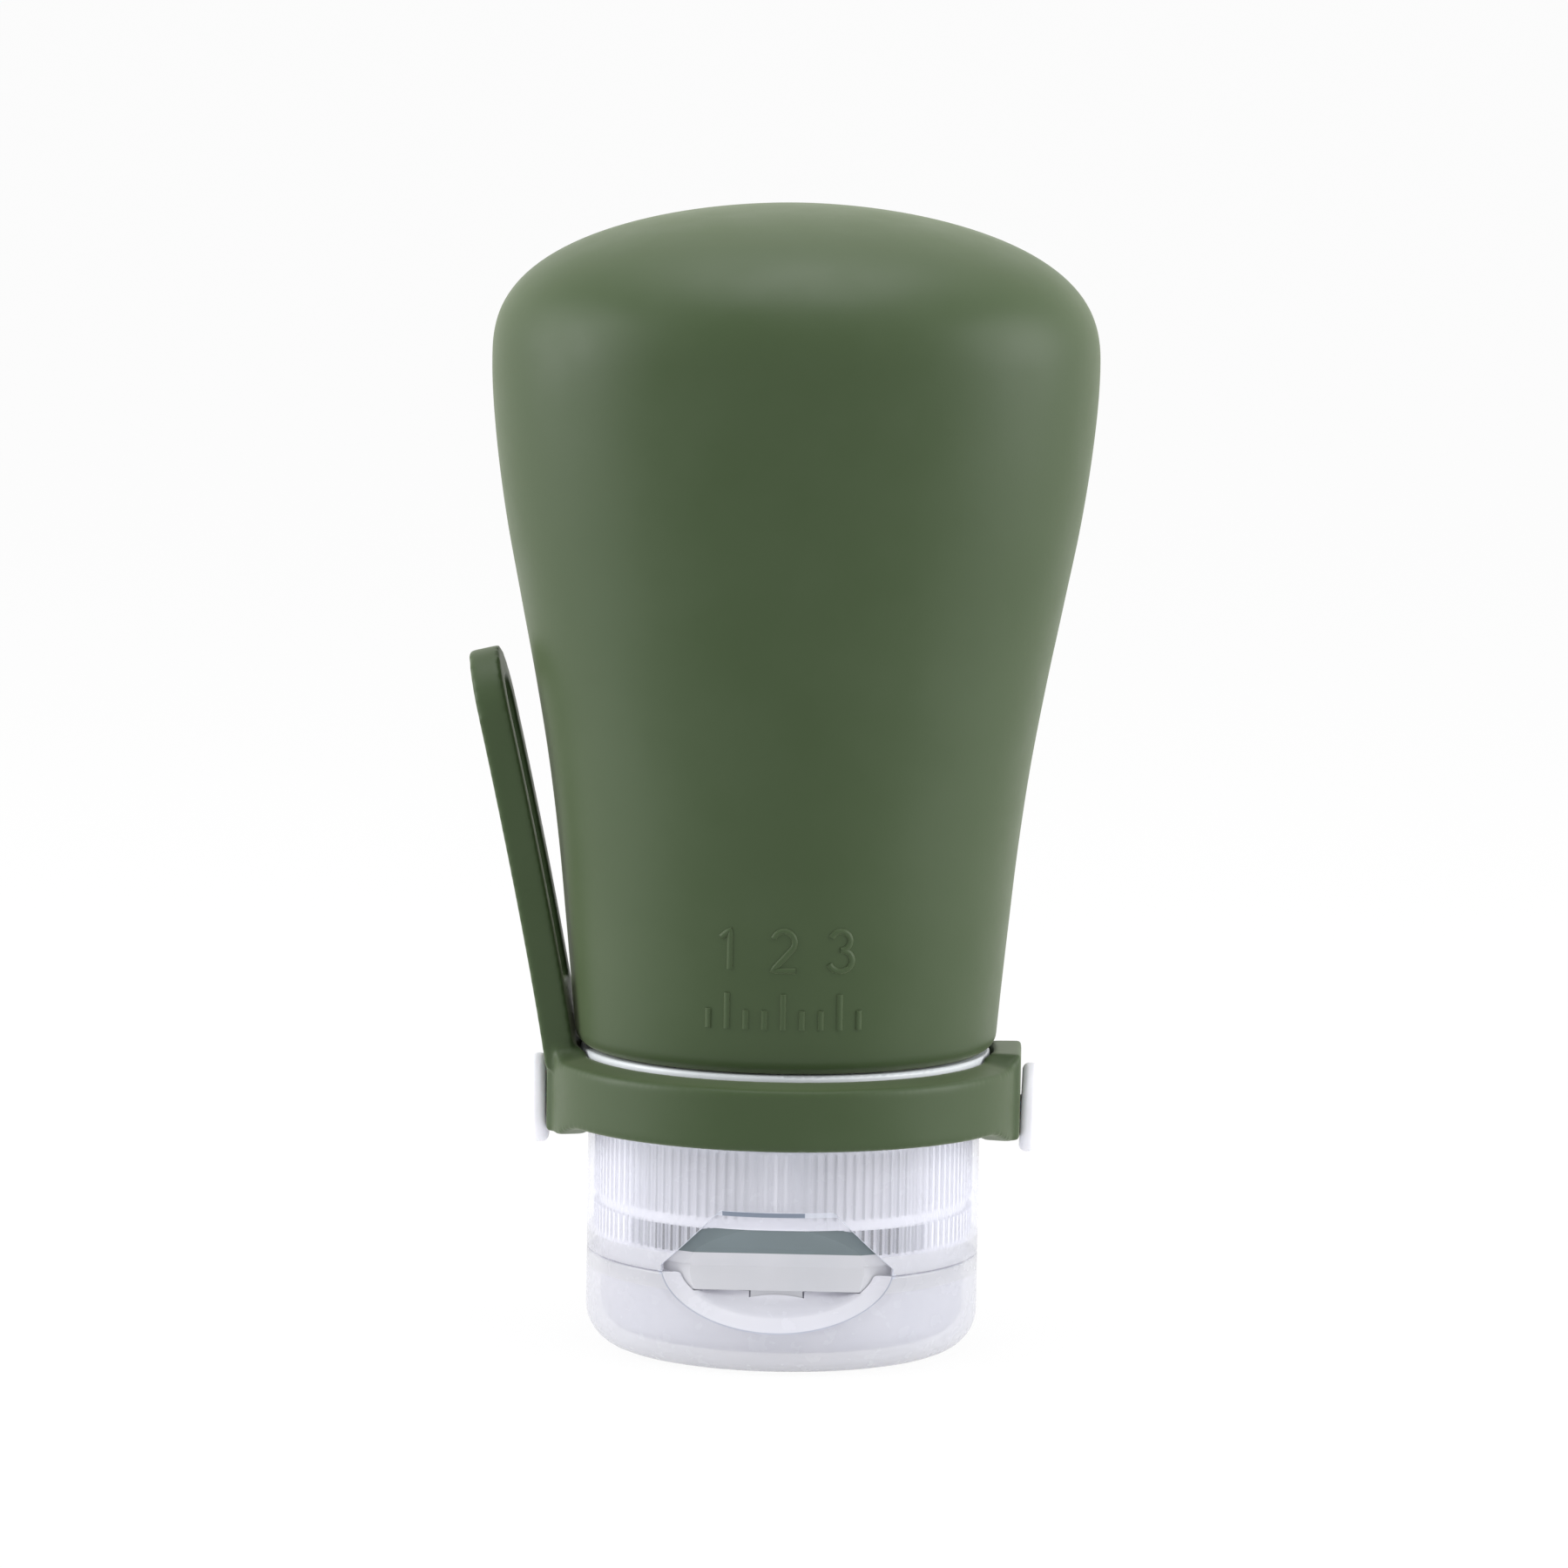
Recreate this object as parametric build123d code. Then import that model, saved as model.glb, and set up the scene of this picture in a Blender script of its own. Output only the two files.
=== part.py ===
from build123d import *
import math
import os

# Soft silicone travel bottle that stands on its flip cap. Millimetres, +Z up.
# The origin is the middle of the lid's flat foot. The thumb scoop faces -Y, the lid
# hinge is at +Y, the studs are on the X axis and the hanging loop is on the -X side.

# Shared by all cuts, and the small gap between faces that only rest on each other
overrun = 2.0
face_gap = 0.05

# Flip lid
cap_radius = 16.5
lid_height = 8.2
lid_wall = 1.2
lid_floor = 1.5
lid_corner_radius = 3.6
lid_rim_round = 0.35
lid_plug_radius = 3.8
lid_plug_bore_radius = 2.6
lid_seal_gap = 0.15
lid_seal_wall = 1.0
seam_gap = 0.1

# Thumb scoop across the seam: oval below, with a flat top and sloped shoulders above
scoop_half_width = 9.6
scoop_half_height = 5.0
scoop_top_half_width = 3.9
scoop_shoulder_half_width = 8.5
scoop_shoulder_rise = 1.9
scoop_depth = 3.2
scoop_rise = 0.6
scoop_wall = 1.0
# Share of the depth reached at each share of the height above the scoop's middle
scoop_dish_depth_shares = (0.0, 0.36, 0.81)
scoop_dish_height_shares = (1.0, 0.72, 0.32)

# Clear sleeve with two rows of fine inner ribs
sleeve_wall = 0.55
rib_depth = 0.45
rib_count = 120
rib_slot_share = 0.42
sleeve_foot_band = 1.7
lower_rib_height = 2.2
middle_band = 0.9
upper_rib_height = 5.5
sleeve_top_band = 0.4
sleeve_round = 0.3

# Threaded cap core
core_fit_gap = 0.1
core_rim_drop = 1.45
core_rim_gap = 0.15
core_rim_wall = 1.3
deck_setback = 0.7
deck_thickness = 2.2
core_top_setback = 0.4
spout_bore_radius = 4.0
spout_wall = 1.4
spout_drop = 2.6
catch_half_width = 2.15
catch_height = 0.8
catch_depth = 0.7
catch_gap = 0.15

# Dark band round the core, bare in the thumb scoop
band_thickness = 0.9
band_pad_thickness = 0.4
band_gap = 0.02

# Slit valve and its retainer
valve_flange_radius = 7.0
valve_flange_thickness = 0.8
valve_skirt_wall = 0.8
valve_membrane = 0.6
valve_slit_width = 0.15
valve_slit_length = 5.0
valve_play = 0.05
retainer_bore_radius = 4.6
retainer_wall = 1.3
retainer_cover = 1.2
retainer_rib_wall = 1.0
retainer_rib_height = 1.9

# Neck gasket
gasket_thickness = 1.1
gasket_inset = 0.3

# Threaded neck insert
neck_bore_radius = 10.9
neck_wall = 1.7
neck_flange_radius = 14.9
neck_flange_thickness = 1.2
neck_lip_reach = 0.9
neck_lip_thickness = 1.0
cavity_play = 0.05

# Screw thread between neck and core
thread_pitch = 3.2
thread_depth = 0.95
thread_play = 0.35
thread_root_width = 1.3
thread_crest_width = 0.6
thread_flank_gap = 0.15
thread_lead_in = 1.35
thread_embed = 0.2
neck_thread_turns = 1.1
core_thread_turns = 0.95

# Clamp collar
collar_radius = 17.25
collar_gap = 0.15
collar_lip_height = 0.55
collar_lip_reach = 0.6
collar_pocket_play = 0.05
collar_height = 6.3
collar_round = 0.25
collar_stud_play = 0.04

# Bottle body
body_half_width = 25.4
body_half_depth = 20.4
body_lip_radius = 17.65
body_lip_round = 1.4
body_height = 70.9
body_shoulder_height = 57.6
body_wall = 2.4
body_floor = 2.0
neck_sleeve_wall = 1.65
bead_reach = 0.7
bead_height = 1.9
crown_flat_share = 0.04
crown_width_power = 1.9
crown_height_power = 2.6
# Height share from lip to shoulder, and the share of the widening reached there
flank_height_shares = (0.0, 0.085, 0.19, 0.3, 0.42, 0.54, 0.66, 0.78, 0.9)
flank_widening_shares = (0.0, 0.055, 0.13, 0.215, 0.335, 0.49, 0.665, 0.835, 0.955)
# Share of the flattening reached at each of those heights
flank_flattening_shares = (0.0, 0.0, 0.03, 0.12, 0.28, 0.48, 0.7, 0.88, 0.98)
crown_angle_shares = (0.0, 0.18, 0.36, 0.52, 0.67, 0.8, 0.91)

# Strap ring
ring_gap = 0.05
ring_thickness = 2.6
ring_height = 5.1
ring_setback = 0.3
ring_round = 0.55
ear_half_width = 4.0
ear_rise = 0.9
ear_drop = 1.35
ear_round = 0.8

# Studs
stud_head_radius = 3.75
stud_head_thickness = 1.4
stud_head_round = 0.6
stud_shank_radius = 1.0
stud_shank_bite = 1.7
stud_hole_play = 0.05
stud_below_ring_middle = 1.4
stud_splay_deg = 1.7

# Hanging loop
loop_width = 10.4
loop_thickness = 2.6
loop_length = 32.9
loop_slot_width = 5.2
loop_slot_start = 4.2
loop_tip_outset = 0.49
loop_axis_rise = 1.85
loop_axis_inset = 0.85
loop_round = 0.5
loop_root_gap = 0.25

# Lid hinge
hinge_reach = 1.1
knuckle_radius = 1.4
knuckle_gap = 0.1
knuckle_side_gap = 0.15
lid_knuckle_half_length = 4.0
cap_knuckle_length = 3.0
hinge_pin_radius = 0.8
hinge_pin_play = 0.04
hinge_web_depth = 1.3

# Places worked out from the sizes above
low = (Align.CENTER, Align.CENTER, Align.MIN)
middle = (Align.CENTER, Align.CENTER, Align.CENTER)
sleeve_bottom = lid_height + seam_gap
lower_ribs_bottom = sleeve_bottom + sleeve_foot_band
lower_ribs_top = lower_ribs_bottom + lower_rib_height
upper_ribs_bottom = lower_ribs_top + middle_band
upper_ribs_top = upper_ribs_bottom + upper_rib_height
sleeve_top = upper_ribs_top + sleeve_top_band
rib_outer_radius = cap_radius - sleeve_wall
rib_inner_radius = rib_outer_radius - rib_depth
core_radius = rib_inner_radius - core_fit_gap
core_rim_radius = cap_radius - lid_wall - core_rim_gap
core_rim_bottom = sleeve_bottom - core_rim_drop
deck_bottom = sleeve_bottom + deck_setback
deck_top = deck_bottom + deck_thickness
core_top = sleeve_top - core_top_setback
neck_radius = neck_bore_radius + neck_wall
neck_thread_radius = neck_radius + thread_depth
core_cavity_radius = neck_radius + cavity_play
core_thread_zone_radius = neck_thread_radius + thread_play
neck_bottom = deck_top + gasket_thickness + face_gap
thread_start = neck_bottom + thread_lead_in
core_thread_zone_bottom = thread_start - thread_root_width / 2 - thread_play
thread_mesh_shift = (thread_root_width + thread_crest_width) / 2 + thread_flank_gap
scoop_middle = lid_height + scoop_rise
spout_radius = spout_bore_radius + spout_wall
spout_bottom = deck_bottom - spout_drop
lid_top = lid_height
lid_inner_radius = cap_radius - lid_wall
collar_bottom = sleeve_top + collar_gap
collar_top = collar_bottom + collar_height
flange_bottom = collar_bottom + collar_lip_height + face_gap
flange_top = flange_bottom + neck_flange_thickness
bead_bottom = flange_top + face_gap
bead_top = bead_bottom + bead_height
neck_sleeve_inner = neck_radius + cavity_play
neck_sleeve_radius = neck_sleeve_inner + neck_sleeve_wall
bead_radius = neck_sleeve_radius + bead_reach
pocket_radius = max(bead_radius, neck_flange_radius) + collar_pocket_play
throat_radius = neck_sleeve_radius + collar_pocket_play
body_bottom = collar_top + face_gap
body_shoulder = body_bottom + body_shoulder_height
body_top = body_bottom + body_height
cavity_bottom = body_bottom + body_floor
ring_inner_radius = collar_radius + ring_gap
ring_radius = ring_inner_radius + ring_thickness
ring_bottom = collar_bottom + ring_setback
ring_top = ring_bottom + ring_height
stud_axis = ring_bottom + ring_height / 2 - stud_below_ring_middle
loop_axis_x = ring_radius - loop_axis_inset
loop_axis_z = ring_top + loop_axis_rise
loop_lean_deg = math.degrees(math.asin((body_half_width + loop_tip_outset - loop_axis_x) / loop_length))
hinge_y = cap_radius + hinge_reach
knuckle_reach = lid_knuckle_half_length + knuckle_side_gap + cap_knuckle_length


def round_tube(outer, inner, bottom, top):
    """A plain tube round the Z axis."""
    wall = Pos(0, 0, bottom) * Cylinder(outer, top - bottom, align=low)
    return wall - Pos(0, 0, bottom - overrun) * Cylinder(inner, top - bottom + 2 * overrun, align=low)


def disc(radius, bottom, top):
    """A plain cylinder round the Z axis."""
    return Pos(0, 0, bottom) * Cylinder(radius, top - bottom, align=low)


def spun(points):
    """A solid turned round the Z axis from (radius, height) points."""
    outline = Polyline(*[(radius, 0, height) for radius, height in points], close=True)
    return revolve(make_face(outline), Axis.Z)


def barrel(growth):
    """The dished floor of the scoop, drawn from the side and run along X."""
    depth = scoop_depth + growth
    half_height = scoop_half_height + growth
    front = -cap_radius - overrun
    upper = [(front, scoop_middle + half_height)]
    for depth_share, height_share in zip(scoop_dish_depth_shares, scoop_dish_height_shares):
        upper.append((-cap_radius + depth * depth_share, scoop_middle + half_height * height_share))
    upper.append((-cap_radius + depth, scoop_middle))
    lower = EllipticalCenterArc((-cap_radius, scoop_middle), depth, half_height, 270, arc_size=90)
    closing = Polyline((-cap_radius, scoop_middle - half_height), (front, scoop_middle - half_height), upper[0])
    side_view = Plane.YZ * make_face(Polyline(*upper) + lower + closing)
    return extrude(side_view, scoop_half_width + overrun, both=True)


def scoop_plug(growth):
    """The outline of the scoop, driven in from the front."""
    half_width = scoop_half_width + growth
    half_height = scoop_half_height + growth
    shoulder = scoop_shoulder_half_width + growth
    top = scoop_top_half_width + growth / 2
    upper = Polyline(
        (half_width, scoop_middle),
        (shoulder, scoop_middle + scoop_shoulder_rise + growth / 2),
        (top, scoop_middle + half_height),
        (-top, scoop_middle + half_height),
        (-shoulder, scoop_middle + scoop_shoulder_rise + growth / 2),
        (-half_width, scoop_middle),
    )
    lower = EllipticalCenterArc((0, scoop_middle), half_width, half_height, 180, arc_size=180)
    return extrude(Plane.XZ * make_face(upper + lower), cap_radius + overrun)


def scoop_cut(growth=0):
    """The thumb scoop as a cutting body, grown on every side."""
    return barrel(growth) & scoop_plug(growth)


def helix_tooth(radius, inward, turns, start):
    """One helical thread tooth that stands out of, or into, a wall of the given radius."""
    path = Helix(pitch=thread_pitch, height=thread_pitch * turns, radius=radius)
    side = -1 if inward else 1
    root = thread_root_width / 2
    crest = thread_crest_width / 2
    corners = [
        (-side * thread_embed, -root),
        (side * thread_depth, -crest),
        (side * thread_depth, crest),
        (-side * thread_embed, root),
    ]
    place = Plane(origin=path @ 0, x_dir=(1, 0, 0), z_dir=path % 0)
    tooth = place * make_face(Polyline(*corners, close=True))
    return Pos(0, 0, start) * sweep(tooth, path=path, is_frenet=True)


def catch_block(gap):
    """The small catch that hangs under the front of the core's rim."""
    front = -cap_radius + scoop_depth
    size = (2 * (catch_half_width + gap), catch_depth + 2 * gap, catch_height + gap + overrun)
    place = Pos(0, front - gap, core_rim_bottom - catch_height - gap)
    return place * Box(*size, align=(Align.CENTER, Align.MIN, Align.MIN))


def knuckle(start, end, radius):
    """A hinge barrel along X from start to end."""
    barrel_body = Rot(0, 90, 0) * Cylinder(radius, end - start, align=low)
    return Pos(start, hinge_y, lid_height) * barrel_body


def hinge_web(start, end, upward):
    """The web that carries a hinge barrel from the wall, above or below the seam."""
    inner_y = math.sqrt(cap_radius**2 - max(abs(start), abs(end)) ** 2) - sleeve_wall
    size = (end - start, hinge_y - inner_y, hinge_web_depth)
    foot = sleeve_bottom if upward else lid_top
    height_align = Align.MIN if upward else Align.MAX
    return Pos(start, inner_y, foot) * Box(*size, align=(Align.MIN, Align.MIN, height_align))


def pin_hole():
    """The bore for the hinge pin through every knuckle."""
    reach = knuckle_reach + overrun
    return knuckle(-reach, reach, hinge_pin_radius + hinge_pin_play)


def cap_knuckle_spans():
    """Start and end along X of the two barrels on the sleeve."""
    inner = lid_knuckle_half_length + knuckle_side_gap
    return [(-knuckle_reach, -inner), (inner, knuckle_reach)]


def make_flip_lid():
    """Lid: shallow cup with a flat foot, scoop bowl, plug, sealing wall and hinge barrel."""
    cup = disc(cap_radius, 0, lid_top)
    cup = fillet(cup.edges().group_by(Axis.Z)[0], lid_corner_radius)
    cup = fillet(cup.edges().group_by(Axis.Z)[-1], lid_rim_round)
    hollow = disc(lid_inner_radius, lid_floor, lid_top + overrun)
    inner_round = max(lid_corner_radius - lid_wall, lid_rim_round)
    hollow = fillet(hollow.edges().group_by(Axis.Z)[0], inner_round)
    bowl_top = core_rim_bottom - seam_gap
    bowl = scoop_cut(scoop_wall) & disc(cap_radius - lid_rim_round, lid_floor / 2, bowl_top)
    seal_inner = spout_radius + lid_seal_gap
    seal_top = spout_bottom + spout_drop / 2
    seal = round_tube(seal_inner + lid_seal_wall, seal_inner, lid_floor / 2, seal_top)
    plug_top = spout_bottom + spout_drop / 2
    plug = round_tube(lid_plug_radius, lid_plug_bore_radius, lid_floor / 2, plug_top)
    lid = cup - hollow + bowl + seal + plug
    lid = lid - scoop_cut() - catch_block(catch_gap)
    half = lid_knuckle_half_length
    lid = lid + hinge_web(-half, half, False) + knuckle(-half, half, knuckle_radius)
    for start, end in cap_knuckle_spans():
        lid = lid - knuckle(start - knuckle_side_gap, end + knuckle_side_gap, knuckle_radius + knuckle_gap)
    return lid - pin_hole()


def ribbed_ring(bottom, top):
    """One row of fine vertical ribs inside the sleeve."""
    pitch = 2 * math.pi / rib_count
    corners = []
    for turn in range(rib_count):
        rib_end = turn * pitch + pitch * (1 - rib_slot_share)
        for angle, radius in (
            (turn * pitch, rib_inner_radius),
            (rib_end, rib_inner_radius),
            (rib_end, rib_outer_radius),
            ((turn + 1) * pitch, rib_outer_radius),
        ):
            corners.append((radius * math.cos(angle), radius * math.sin(angle)))
    section = Circle(cap_radius) - make_face(Polyline(*corners, close=True))
    return Pos(0, 0, bottom) * extrude(section, top - bottom)


def make_cap_sleeve():
    """Sleeve: clear outer shell of the cap, ribbed inside, with the upper half of the scoop."""
    foot = round_tube(cap_radius, rib_inner_radius, sleeve_bottom, lower_ribs_bottom)
    foot = fillet(foot.edges().group_by(Axis.Z)[0].sort_by(SortBy.RADIUS)[-1], sleeve_round)
    crown = round_tube(cap_radius, rib_inner_radius, upper_ribs_top, sleeve_top)
    crown = fillet(crown.edges().group_by(Axis.Z)[-1].sort_by(SortBy.RADIUS)[-1], sleeve_round)
    pieces = [
        ribbed_ring(lower_ribs_bottom, lower_ribs_top),
        round_tube(cap_radius, rib_inner_radius, lower_ribs_top, upper_ribs_bottom),
        ribbed_ring(upper_ribs_bottom, upper_ribs_top),
        crown,
    ]
    kept_inside = disc(cap_radius - sleeve_wall / 2, 0, sleeve_top)
    for start, end in cap_knuckle_spans():
        carrier = hinge_web(start, end, True) + knuckle(start, end, knuckle_radius)
        pieces.append(carrier - kept_inside)
    half = lid_knuckle_half_length + knuckle_side_gap
    relief = knuckle(-half, half, knuckle_radius + knuckle_gap)
    return foot + pieces - [scoop_cut(), relief, pin_hole()]


def core_band_groove(growth):
    """The ring and front pad of the dark band, with growth to cut its groove."""
    ring = round_tube(core_radius, core_radius - band_thickness - growth, lower_ribs_bottom, lower_ribs_top)
    pad_zone = disc(core_radius, lower_ribs_bottom, lower_ribs_top)
    pad = scoop_cut(band_pad_thickness + growth) & pad_zone
    return ring + pad


def make_core_band():
    """Dark soft band in the groove round the core."""
    return core_band_groove(0) - scoop_cut()


def make_cap_core():
    """Core: threaded inner cap with the deck, spout, rim, scoop floor and front catch."""
    core = disc(core_radius, deck_bottom, core_top)
    core = core + round_tube(core_rim_radius, core_rim_radius - core_rim_wall, core_rim_bottom, deck_bottom)
    floor_zone = disc(core_rim_radius, core_rim_bottom, deck_bottom)
    core = core + (scoop_cut(scoop_wall) & floor_zone)
    core = core + disc(spout_radius, spout_bottom, deck_bottom)
    core = core - disc(core_cavity_radius, deck_top, core_thread_zone_bottom + overrun)
    core = core - disc(core_thread_zone_radius, core_thread_zone_bottom, core_top + overrun)
    rib_inner = valve_flange_radius + valve_play + retainer_wall + valve_play
    core = core + round_tube(
        rib_inner + retainer_rib_wall, rib_inner, deck_top - face_gap, deck_top + retainer_rib_height
    )
    core = core - disc(spout_bore_radius, spout_bottom - overrun, deck_top + overrun)
    core_tooth = helix_tooth(core_thread_zone_radius, True, core_thread_turns, thread_start + thread_mesh_shift)
    core = core + core_tooth
    core = core - scoop_cut() + catch_block(0).intersect(scoop_catch_zone())
    return core - core_band_groove(band_gap)


def scoop_catch_zone():
    """The height in which the catch stays, from its foot up into the rim."""
    return disc(cap_radius, core_rim_bottom - catch_height, core_rim_bottom + catch_height)


def make_neck_gasket():
    """Flat gasket between the deck and the end of the neck."""
    outer = core_cavity_radius - face_gap
    inner = neck_bore_radius - gasket_inset
    return round_tube(outer, inner, deck_top, deck_top + gasket_thickness)


def make_slit_valve():
    """Silicone valve: flange, skirt and thin end with two crossed slits."""
    skirt_radius = spout_bore_radius - valve_play
    flange_bottom_z = deck_top + face_gap
    end_bottom = deck_bottom
    end_top = end_bottom + valve_membrane
    inner = skirt_radius - valve_skirt_wall
    valve = spun(
        [
            (0, end_bottom),
            (skirt_radius, end_bottom),
            (skirt_radius, flange_bottom_z),
            (valve_flange_radius, flange_bottom_z),
            (valve_flange_radius, flange_bottom_z + valve_flange_thickness),
            (inner, flange_bottom_z + valve_flange_thickness),
            (inner, end_top),
            (0, end_top),
        ]
    )
    for angle in (45, 135):
        slit = Box(valve_slit_length, valve_slit_width, valve_membrane + overrun)
        valve = valve - Pos(0, 0, end_bottom) * Rot(0, 0, angle) * slit
    return valve


def make_valve_retainer():
    """Snap ring that holds the valve's flange down on the deck."""
    outer = valve_flange_radius + valve_play + retainer_wall
    flange_top_z = deck_top + face_gap + valve_flange_thickness + face_gap
    ring = round_tube(outer, valve_flange_radius + valve_play, deck_top + face_gap, flange_top_z)
    return ring + round_tube(outer, retainer_bore_radius, flange_top_z, flange_top_z + retainer_cover)


def make_threaded_neck():
    """Hard insert: screw neck, flange that carries the bead, and a lip inside the bottle."""
    neck_top = cavity_bottom + face_gap
    neck = round_tube(neck_radius, neck_bore_radius, neck_bottom, neck_top)
    neck = neck + round_tube(neck_flange_radius, neck_bore_radius, flange_bottom, flange_top)
    lip_radius = neck_radius + neck_lip_reach
    neck = neck + round_tube(lip_radius, neck_bore_radius, neck_top, neck_top + neck_lip_thickness)
    return neck + helix_tooth(neck_radius, False, neck_thread_turns, thread_start)


def stud_place(side):
    """Where a stud's axis meets the ring on one side, splayed a little at the top."""
    return Pos(side * ring_radius, 0, stud_axis) * Rot(0, side * (90 + stud_splay_deg), 0)


def stud_shank(side, radius, length):
    """The shank from the ring's face inwards."""
    return stud_place(side) * Cylinder(radius, length, align=(Align.CENTER, Align.CENTER, Align.MAX))


def shank_length():
    """How far a shank reaches in from the ring's face."""
    return ring_thickness + ring_gap + stud_shank_bite


def make_stud(side):
    """Button-headed stud that pins the ring to the collar."""
    head = Pos(0, 0, face_gap) * Cylinder(stud_head_radius, stud_head_thickness, align=low)
    head = fillet(head.edges().filter_by(GeomType.CIRCLE), stud_head_round)
    neck = Cylinder(stud_shank_radius, face_gap + stud_head_round, align=low)
    return stud_place(side) * (head + neck) + stud_shank(side, stud_shank_radius, shank_length())


def make_clamp_collar():
    """Collar that traps the bottle's bead against the neck flange."""
    lip_inner = neck_flange_radius - collar_lip_reach
    collar = disc(collar_radius, collar_bottom, collar_top)
    collar = fillet(collar.edges().filter_by(GeomType.CIRCLE), collar_round)
    collar = collar - disc(lip_inner, collar_bottom - overrun, collar_top)
    collar = collar - disc(pocket_radius, flange_bottom - face_gap, bead_top + face_gap)
    collar = collar - disc(throat_radius, bead_top, collar_top + overrun)
    for side in (-1, 1):
        collar = collar - stud_shank(side, stud_shank_radius + collar_stud_play, shank_length() + face_gap)
    return collar


def flank_sections(inset, bottom):
    """Oval sections up the flank, from the lip to the shoulder."""
    sections = []
    shares = zip(flank_height_shares, flank_widening_shares, flank_flattening_shares)
    for height_share, widening_share, flattening_share in shares:
        height = bottom + (body_shoulder - bottom) * height_share
        half_width = body_lip_radius + (body_half_width - body_lip_radius) * widening_share
        flat_ratio = 1 - (1 - body_half_depth / body_half_width) * flattening_share
        sections.append((height, half_width - inset, half_width * flat_ratio - inset))
    return sections


def crown_sections(inset):
    """Oval sections over the crown, from the shoulder to a small flat at the top."""
    crown_height = body_top - body_shoulder - inset
    sections = []
    for share in crown_angle_shares:
        angle = share * math.pi / 2
        reach = math.cos(angle) ** (2 / crown_width_power)
        lift = math.sin(angle) ** (2 / crown_height_power)
        half_width = (body_half_width - inset) * reach
        half_depth = (body_half_depth - inset) * reach
        sections.append((body_shoulder + crown_height * lift, half_width, half_depth))
    flat = (body_half_width - inset) * crown_flat_share
    depth_share = (body_half_depth - inset) / (body_half_width - inset)
    sections.append((body_shoulder + crown_height, flat, flat * depth_share))
    return sections


def body_form(inset, bottom):
    """The bottle's smooth form from its lip to its crown, inset for the inside."""
    sections = flank_sections(inset, bottom) + crown_sections(inset)
    ovals = [Pos(0, 0, height) * Ellipse(wide, deep) for height, wide, deep in sections]
    return loft(ovals)


def make_bottle_body():
    """Soft bottle: smooth oval form, open neck sleeve and locking bead."""
    body = body_form(0, body_bottom)
    body = fillet(body.edges().group_by(Axis.Z)[0], body_lip_round)
    body = body - body_form(body_wall, cavity_bottom)
    body = body + disc(neck_sleeve_radius, bead_bottom, body_bottom + body_floor / 2)
    body = body + disc(bead_radius, bead_bottom, bead_top)
    return body - disc(neck_sleeve_inner, bead_bottom - overrun, cavity_bottom + overrun)


def ear(side, half_width):
    """Taller stretch of the ring that the stud passes through."""
    tall = round_tube(ring_radius, ring_inner_radius, ring_bottom - ear_drop, ring_top + ear_rise)
    size = (ring_radius, 2 * half_width, ring_height + ear_rise + ear_drop)
    block = Pos(side * ring_radius, 0, ring_bottom - ear_drop) * Box(*size, align=low)
    block = fillet(block.edges().filter_by(Axis.X), ear_round)
    return tall & block


def loop_root_cut():
    """Room for the loop's round root to turn in the ear."""
    radius = loop_thickness / 2 + loop_root_gap
    cradle = Rot(90, 0, 0) * Cylinder(radius, loop_width + overrun, align=middle)
    front = Box(ring_radius, loop_width + overrun, ear_rise + overrun, align=(Align.MAX, Align.CENTER, Align.MIN))
    return Pos(-loop_axis_x, 0, loop_axis_z) * cradle + Pos(-loop_axis_x, 0, ring_top) * front


def make_strap_ring():
    """Soft ring round the collar, with an ear for each stud and the loop's root on the left."""
    ring = disc(ring_radius, ring_bottom, ring_top)
    ring = fillet(ring.edges().filter_by(GeomType.CIRCLE), ring_round)
    ring = ring - disc(ring_inner_radius, ring_bottom - overrun, ring_top + overrun)
    ring = ring + ear(1, ear_half_width)
    ring = ring + ear(-1, loop_width / 2)
    ring = ring - loop_root_cut()
    for side in (-1, 1):
        length = ring_thickness + ring_gap + overrun
        ring = ring - stud_shank(side, stud_shank_radius + stud_hole_play, length)
        ring = ring - stud_place(side) * Cylinder(stud_head_radius, overrun, align=low)
    return ring


def make_strap_loop():
    """Flat hanging loop with a long slot, leaning out from its round root."""
    half = loop_width / 2
    slot_half = loop_slot_width / 2
    crown = loop_length - half
    plate = Pos(0, 0, crown / 2) * Box(loop_thickness, loop_width, crown)
    plate = plate + Pos(0, 0, crown) * Rot(0, 90, 0) * Cylinder(half, loop_thickness)
    start = loop_slot_start + slot_half
    slot = Pos(0, 0, start) * Box(loop_thickness + overrun, loop_slot_width, crown - start, align=low)
    for height in (start, crown):
        slot = slot + Pos(0, 0, height) * Rot(0, 90, 0) * Cylinder(slot_half, loop_thickness + overrun)
    plate = plate - slot
    rims = plate.edges().filter_by(Axis.X, reverse=True).filter_by(lambda rim: rim.center().Z > loop_round)
    plate = fillet(rims, loop_round)
    root = Rot(90, 0, 0) * Cylinder(loop_thickness / 2, loop_width - 2 * loop_round)
    return Pos(-loop_axis_x, 0, loop_axis_z) * Rot(0, -loop_lean_deg, 0) * (plate + root)


def make_hinge_pin():
    """Straight pin through the lid's and the sleeve's barrels."""
    return knuckle(-knuckle_reach, knuckle_reach, hinge_pin_radius)


def build_all():
    """Every piece of the bottle by its name."""
    return {
        "bottle_body": make_bottle_body(),
        "threaded_neck": make_threaded_neck(),
        "clamp_collar": make_clamp_collar(),
        "strap_ring": make_strap_ring(),
        "strap_loop": make_strap_loop(),
        "strap_stud_left": make_stud(-1),
        "strap_stud_right": make_stud(1),
        "neck_gasket": make_neck_gasket(),
        "cap_core": make_cap_core(),
        "cap_sleeve": make_cap_sleeve(),
        "core_band": make_core_band(),
        "slit_valve": make_slit_valve(),
        "valve_retainer": make_valve_retainer(),
        "lid_hinge_pin": make_hinge_pin(),
        "flip_lid": make_flip_lid(),
    }


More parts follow.
